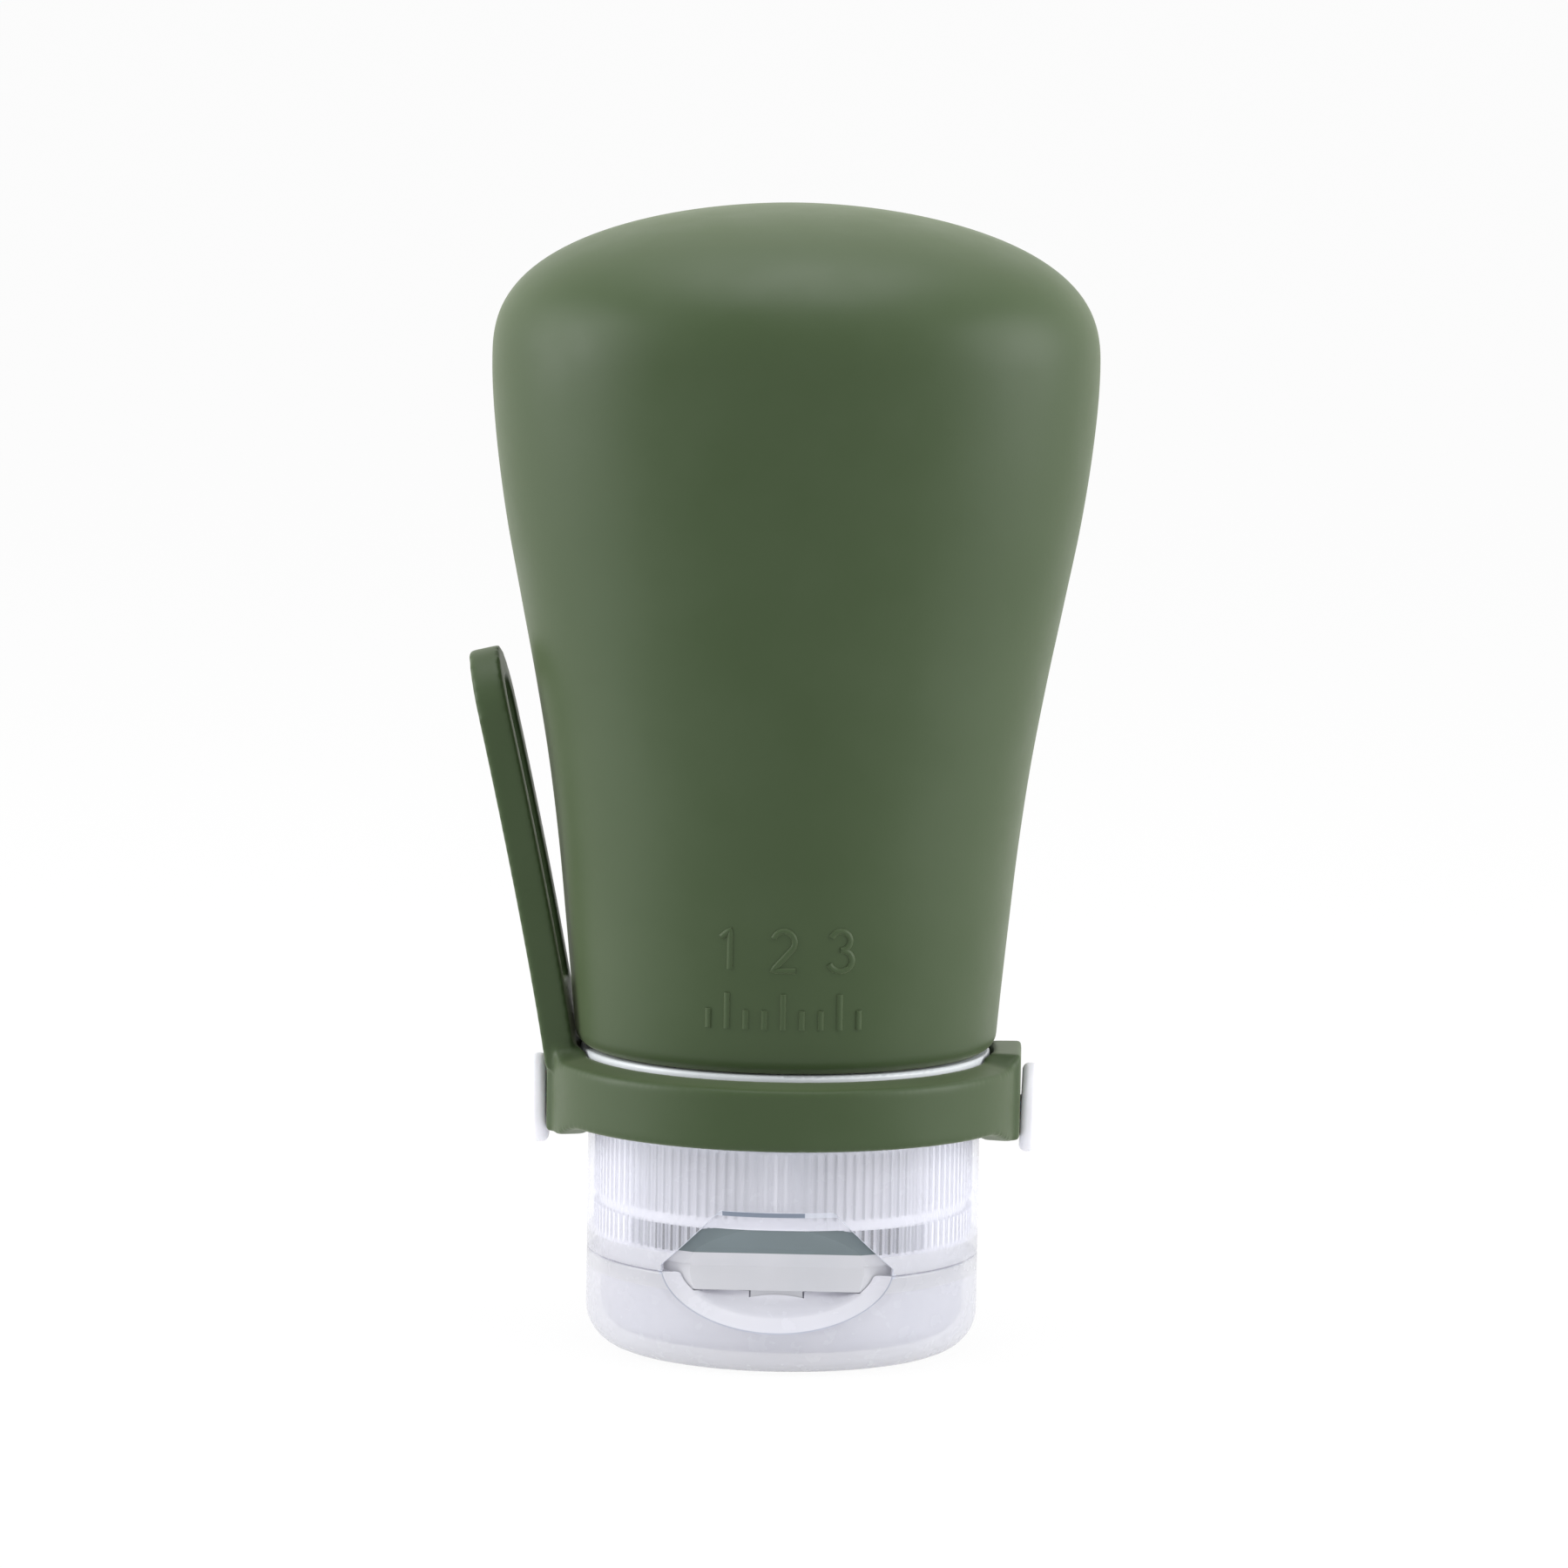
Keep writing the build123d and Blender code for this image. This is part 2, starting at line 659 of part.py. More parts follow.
os.makedirs("parts", exist_ok=True)
for name, shape in build_all().items():
    export_step(shape, f"parts/{name}.step")
    print(name, round(shape.volume, 1))
cavity = body_form(body_wall, cavity_bottom)
print("inside volume in ml", round(cavity.volume / 1000, 1))
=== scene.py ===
"""Dressed model of a soft silicone travel bottle that stands on its flip cap."""

import logging
import math
from dataclasses import dataclass, field
from enum import Enum, IntEnum
from typing import Iterable, Sequence

import bmesh
import bpy
from mathutils import Matrix, Vector

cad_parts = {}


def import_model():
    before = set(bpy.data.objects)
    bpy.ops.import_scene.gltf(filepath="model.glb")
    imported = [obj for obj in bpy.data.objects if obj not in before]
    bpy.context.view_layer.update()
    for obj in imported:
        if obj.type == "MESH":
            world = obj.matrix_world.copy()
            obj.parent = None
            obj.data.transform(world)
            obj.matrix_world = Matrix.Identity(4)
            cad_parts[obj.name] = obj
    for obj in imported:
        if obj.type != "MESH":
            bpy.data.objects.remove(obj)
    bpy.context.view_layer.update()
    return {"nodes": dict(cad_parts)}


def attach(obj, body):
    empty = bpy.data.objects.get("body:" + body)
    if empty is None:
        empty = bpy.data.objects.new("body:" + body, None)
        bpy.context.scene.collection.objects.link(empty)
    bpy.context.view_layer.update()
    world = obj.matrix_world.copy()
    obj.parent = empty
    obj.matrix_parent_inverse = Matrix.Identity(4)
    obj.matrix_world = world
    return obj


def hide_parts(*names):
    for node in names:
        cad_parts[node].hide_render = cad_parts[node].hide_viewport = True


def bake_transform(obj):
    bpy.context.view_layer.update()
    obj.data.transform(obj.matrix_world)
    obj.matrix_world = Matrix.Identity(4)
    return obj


LOG = logging.getLogger("travel_bottle")
MM = 0.001
# Outer radius that the cap's sleeve, the lid and the thumb scoop share, in millimetres
CAP_RADIUS = 16.5
# A rounded corner takes up at most this share of each side that meets there
CORNER_SHARE = 0.49
# Values that a noise texture mostly lies between
NOISE_LOW, NOISE_HIGH = 0.3, 0.7

Point = tuple[float, float, float]
Profile = list[tuple[float, float]]
Piece = bpy.types.Object
Material = bpy.types.Material
Socket = bpy.types.NodeSocket


class Body(str, Enum):
    """Bodies of the jointed model that pieces ride on."""

    BOTTLE = "bottle"
    STRAP = "strap"
    CAP = "cap"
    LID = "lid"


class Side(Enum):
    """Side of the bottle, as the sign of X."""

    LEFT = -1
    RIGHT = 1


class ShellZone(IntEnum):
    """Parts of the sleeve's surface, in the order of its materials."""

    WALL = 0
    UPPER_SLOT = 1
    LOWER_SLOT = 2
    CREST = 3
    CUT = 4
    CLEAR = 5
    EDGE_SHADOW = 6
    CLEAR_EDGE = 7
    FOOT = 8


class LidZone(IntEnum):
    """Parts of the lid's surface, in the order of its materials."""

    WALL = 0
    BOWL = 1
    BOWL_EDGE = 2
    RIM = 3


def new_object(name: str, mesh: bpy.types.Mesh) -> Piece:
    """Link a mesh into the scene.

    Args:
        name: Name of the piece.
        mesh: Its mesh, in metres.

    Returns:
        The new object.
    """
    piece = bpy.data.objects.new(name, mesh)
    bpy.context.scene.collection.objects.link(piece)
    return piece


def mesh_of(name: str, points: Sequence[Point], faces: Sequence[Sequence[int]]) -> Piece:
    """Make an object from points in millimetres.

    Args:
        name: Name of the piece.
        points: Its points, in millimetres.
        faces: Faces as rows of point numbers.

    Returns:
        The new object, with normals that point outwards.
    """
    mesh = bpy.data.meshes.new(name)
    mesh.from_pydata([(x * MM, y * MM, z * MM) for x, y, z in points], [], faces)
    shaper = bmesh.new()
    shaper.from_mesh(mesh)
    bmesh.ops.recalc_face_normals(shaper, faces=shaper.faces)
    shaper.to_mesh(mesh)
    shaper.free()
    return new_object(name, mesh)


def finish_mesh(name: str, shaper: bmesh.types.BMesh) -> Piece:
    """Make an object from a shaped mesh, which is used up.

    Args:
        name: Name of the piece.
        shaper: The mesh, in metres.

    Returns:
        The new object, with normals that point outwards.
    """
    bmesh.ops.recalc_face_normals(shaper, faces=shaper.faces)
    mesh = bpy.data.meshes.new(name)
    shaper.to_mesh(mesh)
    shaper.free()
    return new_object(name, mesh)


def bridge(
    shaper: bmesh.types.BMesh, here: Sequence[bmesh.types.BMVert], there: Sequence[bmesh.types.BMVert]
) -> None:
    """Join two rings of as many points by a row of faces.

    Args:
        shaper: Mesh that takes the faces.
        here: Points of one ring.
        there: Points of the next ring.
    """
    count = len(here)
    for turn in range(count):
        after = (turn + 1) % count
        shaper.faces.new((here[turn], here[after], there[after], there[turn]))


def stack_rings(
    rings: Sequence[Sequence[Point]], close_loop: bool
) -> tuple[list[Point], list[list[int]]]:
    """Skin a row of rings that have the same number of points.

    Args:
        rings: Rings of points.
        close_loop: True to join the last ring to the first, False to cap both ends.

    Returns:
        The points, and the faces.
    """
    steps = len(rings[0])
    points = [point for ring in rings for point in ring]
    faces: list[list[int]] = []
    count = len(rings)
    for row in range(count if close_loop else count - 1):
        low, high = row * steps, ((row + 1) % count) * steps
        for turn in range(steps):
            after = (turn + 1) % steps
            faces.append([low + turn, low + after, high + after, high + turn])
    if not close_loop:
        faces.append(list(range(steps))[::-1])
        faces.append([(count - 1) * steps + turn for turn in range(steps)])
    return points, faces


def lathe(name: str, profile: Profile, steps: int = 256) -> Piece:
    """Turn a closed (radius, height) outline round the Z axis.

    Args:
        name: Name of the piece.
        profile: Corners of the outline in millimetres. A radius of 0 lies on the axis.
        steps: Number of sides.

    Returns:
        The turned piece.
    """
    shaper = bmesh.new()
    columns: list[list[bmesh.types.BMVert]] = []
    for radius, height in profile:
        if radius < 1e-6:
            columns.append([shaper.verts.new((0.0, 0.0, height * MM))])
            continue
        ring = []
        for turn in range(steps):
            angle = 2 * math.pi * turn / steps
            place = (radius * math.cos(angle) * MM, radius * math.sin(angle) * MM, height * MM)
            ring.append(shaper.verts.new(place))
        columns.append(ring)
    for index, here in enumerate(columns):
        there = columns[(index + 1) % len(columns)]
        if len(here) == 1 and len(there) == 1:
            continue
        for turn in range(steps):
            after = (turn + 1) % steps
            corners = [here[turn % len(here)], here[after % len(here)]]
            corners += [there[after % len(there)], there[turn % len(there)]]
            unique = list(dict.fromkeys(corners))
            shaper.faces.new(unique)
    return finish_mesh(name, shaper)


def rounded(corners: Sequence[tuple[float, float, float]], steps: int = 6) -> Profile:
    """Round the corners of a closed outline.

    Args:
        corners: Rows of (radius, height, rounding) in millimetres.
        steps: Sides on each rounded corner.

    Returns:
        The outline with an arc at each corner that has a rounding.
    """
    outline: Profile = []
    count = len(corners)
    for index, (x, y, rounding) in enumerate(corners):
        if rounding <= 0:
            outline.append((x, y))
            continue
        here = Vector((x, y))
        before = Vector(corners[index - 1][:2]) - here
        after = Vector(corners[(index + 1) % count][:2]) - here
        half = before.angle(after) / 2
        longest = (CORNER_SHARE * before.length, CORNER_SHARE * after.length)
        reach = min(rounding / math.tan(half), *longest)
        start = here + before.normalized() * reach
        end = here + after.normalized() * reach
        middle = here + (before.normalized() + after.normalized()).normalized() * reach / math.cos(half)
        first = start - middle
        swing = first.angle_signed(end - middle)
        for step in range(steps + 1):
            turned = Matrix.Rotation(-swing * step / steps, 2) @ first
            outline.append(tuple(middle + turned))
    return outline


def apply_modifiers(piece: Piece) -> None:
    """Bake a piece's modifiers into its mesh."""
    bpy.context.view_layer.update()
    graph = bpy.context.evaluated_depsgraph_get()
    mesh = bpy.data.meshes.new_from_object(piece.evaluated_get(graph))
    piece.modifiers.clear()
    old = piece.data
    piece.data = mesh
    bpy.data.meshes.remove(old)


def combine(piece: Piece, tools: Iterable[Piece], how: str) -> None:
    """Cut or join other objects into a piece, and delete them.

    Args:
        piece: The piece that is kept.
        tools: The objects to work with.
        how: DIFFERENCE, UNION or INTERSECT.
    """
    for tool in tools:
        worker = piece.modifiers.new(how, "BOOLEAN")
        worker.operation = how
        worker.solver = "EXACT"
        worker.object = tool
        apply_modifiers(piece)
        bpy.data.objects.remove(tool)


def shade(piece: Piece, sharp_deg: float = 32) -> None:
    """Shade a piece smooth between its sharp edges."""
    piece.data.polygons.foreach_set("use_smooth", [True] * len(piece.data.polygons))
    piece.data.set_sharp_from_angle(angle=math.radians(sharp_deg))


def hermite(places: Sequence[float], values: Sequence[float], at: float) -> float:
    """Read a smooth curve through a table.

    Args:
        places: Rising places.
        values: Value at each place.
        at: Where to read.

    Returns:
        The value there.
    """
    last = len(places) - 1
    at = min(max(at, places[0]), places[last])
    slot = next(i for i in range(last) if at <= places[i + 1] or i == last - 1)

    def slope(i: int) -> float:
        """Slope of the curve at a row of the table."""
        if i == last:
            return 0.0
        low, high = max(i - 1, 0), i + 1
        return (values[high] - values[low]) / (places[high] - places[low])

    width = places[slot + 1] - places[slot]
    t = (at - places[slot]) / width
    t2, t3 = t * t, t * t * t
    return (
        (2 * t3 - 3 * t2 + 1) * values[slot]
        + (t3 - 2 * t2 + t) * width * slope(slot)
        + (3 * t2 - 2 * t3) * values[slot + 1]
        + (t3 - t2) * width * slope(slot + 1)
    )


def add_node(
    tree: bpy.types.NodeTree, kind: str, inputs: dict[str | int, object], **options: object
) -> bpy.types.Node:
    """Add a shader node.

    Args:
        tree: Node tree to add to.
        kind: Kind of node, without its leading ShaderNode.
        inputs: Value of each input, or the socket that is linked to it.
        options: Settings of the node itself, which are set first.

    Returns:
        The new node.
    """
    node = tree.nodes.new(f"ShaderNode{kind}")
    for option, value in options.items():
        setattr(node, option, value)
    for socket, value in inputs.items():
        if isinstance(value, Socket):
            tree.links.new(value, node.inputs[socket])
        else:
            node.inputs[socket].default_value = value
    return node


class NodeSketch:
    """A material in the making, with the nodes that its finish needs."""

    def __init__(self, name: str) -> None:
        """Start an empty material of that name."""
        self.material = bpy.data.materials.new(name)
        self.material.use_nodes = True
        self.tree = self.material.node_tree
        self.shader = self.tree.nodes["Principled BSDF"]
        self.place = self.tree.nodes.new("ShaderNodeTexCoord").outputs["Object"]

    def add(self, kind: str, inputs: dict[str | int, object], **options: object) -> bpy.types.Node:
        """Add a node to this material."""
        return add_node(self.tree, kind, inputs, **options)

    def noise(self, size: float, detail: float = 3.0, stretch: Point = (1, 1, 1)) -> Socket:
        """Add a noise texture.

        Args:
            size: Size of its grains in millimetres.
            detail: Number of finer layers.
            stretch: Scale of the pattern along each axis.

        Returns:
            The noise's value.
        """
        mapping = self.add("Mapping", {"Scale": stretch, "Vector": self.place})
        inputs = {"Scale": 1 / (size * MM), "Detail": detail, "Vector": mapping.outputs["Vector"]}
        return self.add("TexNoise", inputs).outputs["Fac"]

    def spread(self, value: Socket, low: float, high: float) -> Socket:
        """Map a noise value to a range.

        Args:
            value: The noise.
            low: Result where it is NOISE_LOW.
            high: Result where it is NOISE_HIGH.

        Returns:
            The mapped value.
        """
        inputs = {"From Min": NOISE_LOW, "From Max": NOISE_HIGH, "To Min": low, "To Max": high}
        inputs["Value"] = value
        return self.add("MapRange", inputs).outputs["Result"]

    def blend_colours(self, value: Socket, first: Point, second: Point) -> Socket:
        """Mix two colours by a value.

        Args:
            value: How much of the second.
            first: A linear colour.
            second: A linear colour.

        Returns:
            The mixed colour.
        """
        inputs = {"A": (*first, 1), "B": (*second, 1), "Factor": value}
        return self.add("Mix", inputs, data_type="RGBA").outputs["Result"]

    def around(self, radius: float, stops: Sequence[tuple[float, Point]]) -> Socket:
        """Grade a colour from the middle plane outwards, alike on both sides, front and back.

        Args:
            radius: Radius of the turned piece in millimetres.
            stops: Rows of (distance from the middle plane in millimetres, linear colour).

        Returns:
            The colour.
        """
        parts = self.add("SeparateXYZ", {"Vector": self.place})
        aside = self.add("Math", {0: parts.outputs["X"]}, operation="ABSOLUTE")
        share = self.add("MapRange", {"From Max": radius * MM, "Value": aside.outputs[0]})
        ramp = self.add("ValToRGB", {"Fac": share.outputs["Result"]})
        elements = ramp.color_ramp.elements
        for index, (distance, colour) in enumerate(stops):
            stop = elements[index] if index < 2 else elements.new(distance / radius)
            stop.position = distance / radius
            stop.color = (*colour, 1)
        return ramp.outputs["Color"]

    def bump(self, value: Socket, height: float) -> None:
        """Raise the surface by a value, to a height in millimetres."""
        node = self.add("Bump", {"Strength": 1.0, "Distance": height * MM, "Height": value})
        self.feed("Normal", node.outputs["Normal"])

    def set(self, **values: float) -> None:
        """Set plain values on the shader's sockets, named with underscores."""
        for name, value in values.items():
            socket = name.replace("_", " ").title().replace("Ior", "IOR")
            self.shader.inputs[socket].default_value = value

    def feed(self, socket: str, value: Socket) -> None:
        """Link a value to one of the shader's sockets."""
        self.tree.links.new(value, self.shader.inputs[socket])


def linear(red: int, green: int, blue: int) -> Point:
    """Turn a colour of 0 to 255 into a linear one.

    Args:
        red: Red share.
        green: Green share.
        blue: Blue share.

    Returns:
        The linear colour.
    """
    shares = (value / 255 for value in (red, green, blue))
    return tuple(((s + 0.055) / 1.055) ** 2.4 if s > 0.04045 else s / 12.92 for s in shares)


@dataclass(frozen=True)
class SoftSilicone:
    """Satin silicone with a fine skin grain and a powdery sheen."""

    name: str
    colour: Point
    cloud_colour: Point
    roughness: tuple[float, float] = (0.42, 0.5)
    cloud_size: float = 9.0
    grain_size: float = 0.16
    grain_height: float = 0.004
    sheen: float = 0.14
    sheen_roughness: float = 0.5
    sheen_tint: Point = (0.9, 1.0, 0.66)
    specular: float = 0.28

    def make(self) -> Material:
        """Build the material."""
        sketch = NodeSketch(self.name)
        clouds = sketch.spread(sketch.noise(self.cloud_size), 0.0, 1.0)
        sketch.feed("Base Color", sketch.blend_colours(clouds, self.colour, self.cloud_colour))
        sketch.feed("Roughness", sketch.spread(sketch.noise(self.cloud_size / 2), *self.roughness))
        sketch.bump(sketch.noise(self.grain_size, 2.0), self.grain_height)
        sketch.set(specular_ior_level=self.specular)
        sketch.set(sheen_weight=self.sheen, sheen_roughness=self.sheen_roughness)
        sketch.shader.inputs["Sheen Tint"].default_value = (*self.sheen_tint, 1)
        return sketch.material


@dataclass(frozen=True)
class MouldedPlastic:
    """Solid moulded plastic with faint flow marks."""

    name: str
    colour: Point
    shade_colour: Point
    roughness: tuple[float, float] = (0.3, 0.38)
    flow_size: float = 5.0
    flow_stretch: Point = (1, 1, 0.4)
    grain_size: float = 0.3
    grain_height: float = 0.002
    specular: float = 0.45
    subsurface: float = 0.0
    subsurface_depth: float = 1.5
    subsurface_radius: Point = (1.0, 0.85, 0.85)
    alpha: float = 1.0

    def make(self) -> Material:
        """Build the material."""
        sketch = NodeSketch(self.name)
        flow = sketch.spread(sketch.noise(self.flow_size, 2.0, self.flow_stretch), 0.0, 1.0)
        sketch.feed("Base Color", sketch.blend_colours(flow, self.colour, self.shade_colour))
        sketch.feed("Roughness", sketch.spread(sketch.noise(self.flow_size / 3), *self.roughness))
        sketch.bump(sketch.noise(self.grain_size, 2.0), self.grain_height)
        sketch.set(specular_ior_level=self.specular, alpha=self.alpha)
        if self.subsurface:
            sketch.set(subsurface_weight=self.subsurface, subsurface_scale=self.subsurface_depth * MM)
            sketch.shader.inputs["Subsurface Radius"].default_value = self.subsurface_radius
        return sketch.material


@dataclass(frozen=True)
class RibSlotShade:
    """Floor of the slots between the sleeve's ribs, with painted shade that is darkest across the middle and
    fades to frost at the sides.
    """

    name: str
    radius: float
    stops: tuple[tuple[float, Point], ...]
    alpha: float
    roughness: tuple[float, float] = (0.3, 0.4)
    cloud_size: float = 1.5
    grain_size: float = 0.3
    grain_height: float = 0.002
    specular: float = 0.45

    def make(self) -> Material:
        """Build the material."""
        sketch = NodeSketch(self.name)
        sketch.feed("Base Color", sketch.around(self.radius, self.stops))
        sketch.feed("Roughness", sketch.spread(sketch.noise(self.cloud_size), *self.roughness))
        sketch.bump(sketch.noise(self.grain_size, 2.0), self.grain_height)
        sketch.set(specular_ior_level=self.specular, alpha=self.alpha)
        return sketch.material


@dataclass(frozen=True)
class DrawnWire:
    """Drawn steel wire with fine lines along it."""

    name: str
    colour: Point = (0.55, 0.55, 0.57)
    dark_share: float = 0.8
    roughness: tuple[float, float] = (0.22, 0.36)
    line_size: float = 0.2
    line_stretch: Point = (0.05, 1, 1)
    line_height: float = 0.002

    def make(self) -> Material:
        """Build the material."""
        sketch = NodeSketch(self.name)
        lines = sketch.noise(self.line_size, 2.0, self.line_stretch)
        darker = tuple(share * self.dark_share for share in self.colour)
        sketch.feed("Base Color", sketch.blend_colours(sketch.spread(lines, 0, 1), self.colour, darker))
        sketch.feed("Roughness", sketch.spread(lines, *self.roughness))
        sketch.bump(lines, self.line_height)
        sketch.set(metallic=1.0)
        return sketch.material


# The cap's frosting and its haze, then the painted shade in the slots of the upper and lower ribs
FROST, HAZE = linear(242, 242, 252), linear(236, 237, 248)
UPPER_SLOT_SHADE, LOWER_SLOT_SHADE = linear(84, 90, 104), linear(34, 42, 50)


def made(finish: SoftSilicone | MouldedPlastic | RibSlotShade | DrawnWire) -> Material:
    """A palette field whose material is made along with the palette."""
    return field(default_factory=finish.make)


def frosted(name: str, colour: Point, haze: Point, alpha: float) -> Material:
    """A palette field of frosted clear plastic."""
    return made(MouldedPlastic(name, colour, haze, (0.2, 0.3), alpha=alpha))


@dataclass(frozen=True)
class Palette:
    """The finishes of the bottle, each made once."""

    silicone: Material = made(
        SoftSilicone("green_silicone", linear(50, 67, 37), linear(54, 70, 42))
    )
    collar: Material = made(
        MouldedPlastic("white_collar", linear(222, 226, 230), linear(214, 219, 224))
    )
    stud: Material = made(
        MouldedPlastic("white_stud", linear(232, 232, 238), linear(226, 226, 233), subsurface=0.2)
    )
    core: Material = made(
        MouldedPlastic("pale_core", linear(205, 205, 211), linear(199, 200, 206))
    )
    band: Material = made(
        SoftSilicone("dark_band", linear(116, 128, 133), linear(110, 121, 125), sheen=0.1)
    )
    sleeve: Material = frosted("frosted_sleeve", FROST, HAZE, 0.44)
    crest: Material = made(MouldedPlastic("frosted_inside", FROST, HAZE, (0.3, 0.4), alpha=0.7))
    cut: Material = made(
        MouldedPlastic("frosted_cut", linear(208, 211, 222), linear(203, 207, 219), alpha=0.85)
    )
    # Painted shade in the rib slots, darkest across the middle and fading to frost at the sides
    upper_slot: Material = made(
        RibSlotShade(
            "upper_rib_slot_shade",
            CAP_RADIUS,
            ((0.0, FROST), (1.5, linear(190, 193, 204)), (4.0, UPPER_SLOT_SHADE), (10.5, UPPER_SLOT_SHADE), (13.0, FROST)),
            alpha=0.85,
        )
    )
    lower_slot: Material = made(
        RibSlotShade(
            "lower_rib_slot_shade",
            CAP_RADIUS,
            ((0.0, LOWER_SLOT_SHADE), (9.5, LOWER_SLOT_SHADE), (11.5, linear(120, 126, 134)), (13.0, FROST)),
            alpha=0.95,
        )
    )
    clear_zone: Material = frosted("clear_zone", FROST, HAZE, 0.24)
    clear_edge: Material = frosted("clear_edge", FROST, HAZE, 0.34)
    foot_zone: Material = frosted("frosted_foot", linear(208, 208, 215), linear(204, 205, 212), 0.6)
    edge_shadow: Material = made(
        MouldedPlastic("edge_shadow", linear(112, 122, 138), linear(120, 130, 146))
    )
    # Painted shade: the lid's wall is darker over the band where the core's rim sits behind it
    rim_zone: Material = frosted("frosted_rim_painted_shade", linear(196, 196, 202), linear(191, 192, 199), 0.75)
    lid: Material = frosted("frosted_lid", linear(219, 219, 229), linear(214, 215, 226), 0.5)
    # Painted shade: a darker line along the bowl's edge
    bowl_edge: Material = frosted("bowl_edge", linear(178, 182, 198), linear(186, 190, 205), 0.8)
    # Painted light: the bowl's inside is lighter than the lid, against the shade that falls in it
    bowl: Material = frosted("frosted_bowl_painted_light", linear(244, 244, 252), linear(240, 240, 249), 0.7)
    clear: Material = made(
        SoftSilicone("clear_silicone", linear(222, 226, 226), linear(212, 217, 218), sheen_tint=(1, 1, 1))
    )
    steel: Material = made(DrawnWire("drawn_steel"))


def dress(piece: Piece, *materials: Material) -> None:
    """Give a piece its materials in place of any it has."""
    piece.data.materials.clear()
    for material in materials:
        piece.data.materials.append(material)


@dataclass
class BottleSkin:
    """The soft bottle: oval shell, lip, neck sleeve and bead."""

    half_width: float = 25.4
    half_depth: float = 20.4
    lip_radius: float = 17.65
    lip_round: float = 1.4
    lip_steps: int = 10
    bottom: float = 25.5
    shoulder: float = 83.1
    top: float = 96.4
    wall: float = 2.4
    floor: float = 2.0
    sleeve_inner: float = 12.65
    sleeve_outer: float = 14.3
    bead_radius: float = 15.0
    bead_bottom: float = 21.0
    bead_top: float = 22.9
    width_power: float = 1.9
    height_power: float = 2.6
    sides: int = 192
    rows: int = 110
    height_shares: tuple[float, ...] = (0.0, 0.085, 0.19, 0.3, 0.42, 0.54, 0.66, 0.78, 0.9, 1.0)
    widening_shares: tuple[float, ...] = (0.0, 0.055, 0.13, 0.215, 0.335, 0.49, 0.665, 0.835, 0.955, 1.0)
    flattening_shares: tuple[float, ...] = (0.0, 0.0, 0.03, 0.12, 0.28, 0.48, 0.7, 0.88, 0.98, 1.0)

    def flank(self, height: float) -> tuple[float, float]:
        """Read the oval of the flank.

        Args:
            height: Height in millimetres, from the lip to the shoulder.

        Returns:
            Half the width and half the depth there.
        """
        share = (height - self.bottom) / (self.shoulder - self.bottom)
        widening = hermite(self.height_shares, self.widening_shares, share)
        flattening = hermite(self.height_shares, self.flattening_shares, share)
        wide = self.lip_radius + (self.half_width - self.lip_radius) * widening
        return wide, wide * (1 - (1 - self.half_depth / self.half_width) * flattening)

    def crown(self, share: float, inset: float) -> tuple[float, float, float]:
        """Read the oval of the crown.

        Args:
            share: From 0 at the shoulder to 1 at the top.
            inset: How far inside the outer skin.

        Returns:
            Height, half the width and half the depth.
        """
        angle = share * math.pi / 2
        reach = math.cos(angle) ** (2 / self.width_power)
        lift = math.sin(angle) ** (2 / self.height_power)
        height = self.shoulder + (self.top - self.shoulder - inset) * lift
        return height, (self.half_width - inset) * reach, (self.half_depth - inset) * reach

    def surface_y(self, x: float, z: float) -> float:
        """Depth of the front skin at a place on it, as a negative Y."""
        wide, deep = self.flank(z)
        return -deep * math.sqrt(max(1 - (x / wide) ** 2, 0))

    def oval(self, height: float, wide: float, deep: float) -> list[Point]:
        """One ring of points."""
        turns = [2 * math.pi * turn / self.sides for turn in range(self.sides)]
        return [(wide * math.cos(turn), deep * math.sin(turn), height) for turn in turns]

    def crown_shares(self) -> list[float]:
        """Shares up the crown, close together near the shoulder and the top."""
        count = self.rows // 2
        return [0.5 - 0.5 * math.cos(math.pi * step / count) for step in range(count)]

    def outer_rings(self) -> list[list[Point]]:
        """Rings of the outer skin from the top down to the lip, then the underside and bead."""
        rings = [self.oval(*self.crown(share, 0)) for share in reversed(self.crown_shares()[1:])]
        lip_top = self.bottom + self.lip_round
        for step in range(self.rows + 1):
            height = self.shoulder + (lip_top - self.shoulder) * step / self.rows
            rings.append(self.oval(height, *self.flank(height)))
        for step in range(1, self.lip_steps + 1):
            angle = math.pi / 2 * step / self.lip_steps
            height = lip_top - self.lip_round * math.sin(angle)
            inset = self.lip_round * (1 - math.cos(angle))
            wide, deep = self.flank(max(height, self.bottom))
            rings.append(self.oval(height, wide - inset, deep - inset))
        for radius, height in (
            (self.sleeve_outer, self.bottom),
            (self.sleeve_outer, self.bead_top),
            (self.bead_radius, self.bead_top),
            (self.bead_radius, self.bead_bottom),
            (self.sleeve_inner, self.bead_bottom),
            (self.sleeve_inner, self.bottom + self.floor),
        ):
            rings.append(self.oval(height, radius, radius))
        return rings

    def inner_rings(self) -> list[list[Point]]:
        """Rings of the inside from its floor up to the top."""
        start = self.bottom + self.floor
        rings = []
        for step in range(self.rows // 2):
            height = start + (self.shoulder - start) * step / (self.rows // 2)
            share = (height - start) / (self.shoulder - start)
            wide, deep = self.flank(self.bottom + (self.shoulder - self.bottom) * share)
            rings.append(self.oval(height, wide - self.wall, deep - self.wall))
        rings += [self.oval(*self.crown(share, self.wall)) for share in self.crown_shares()]
        return rings

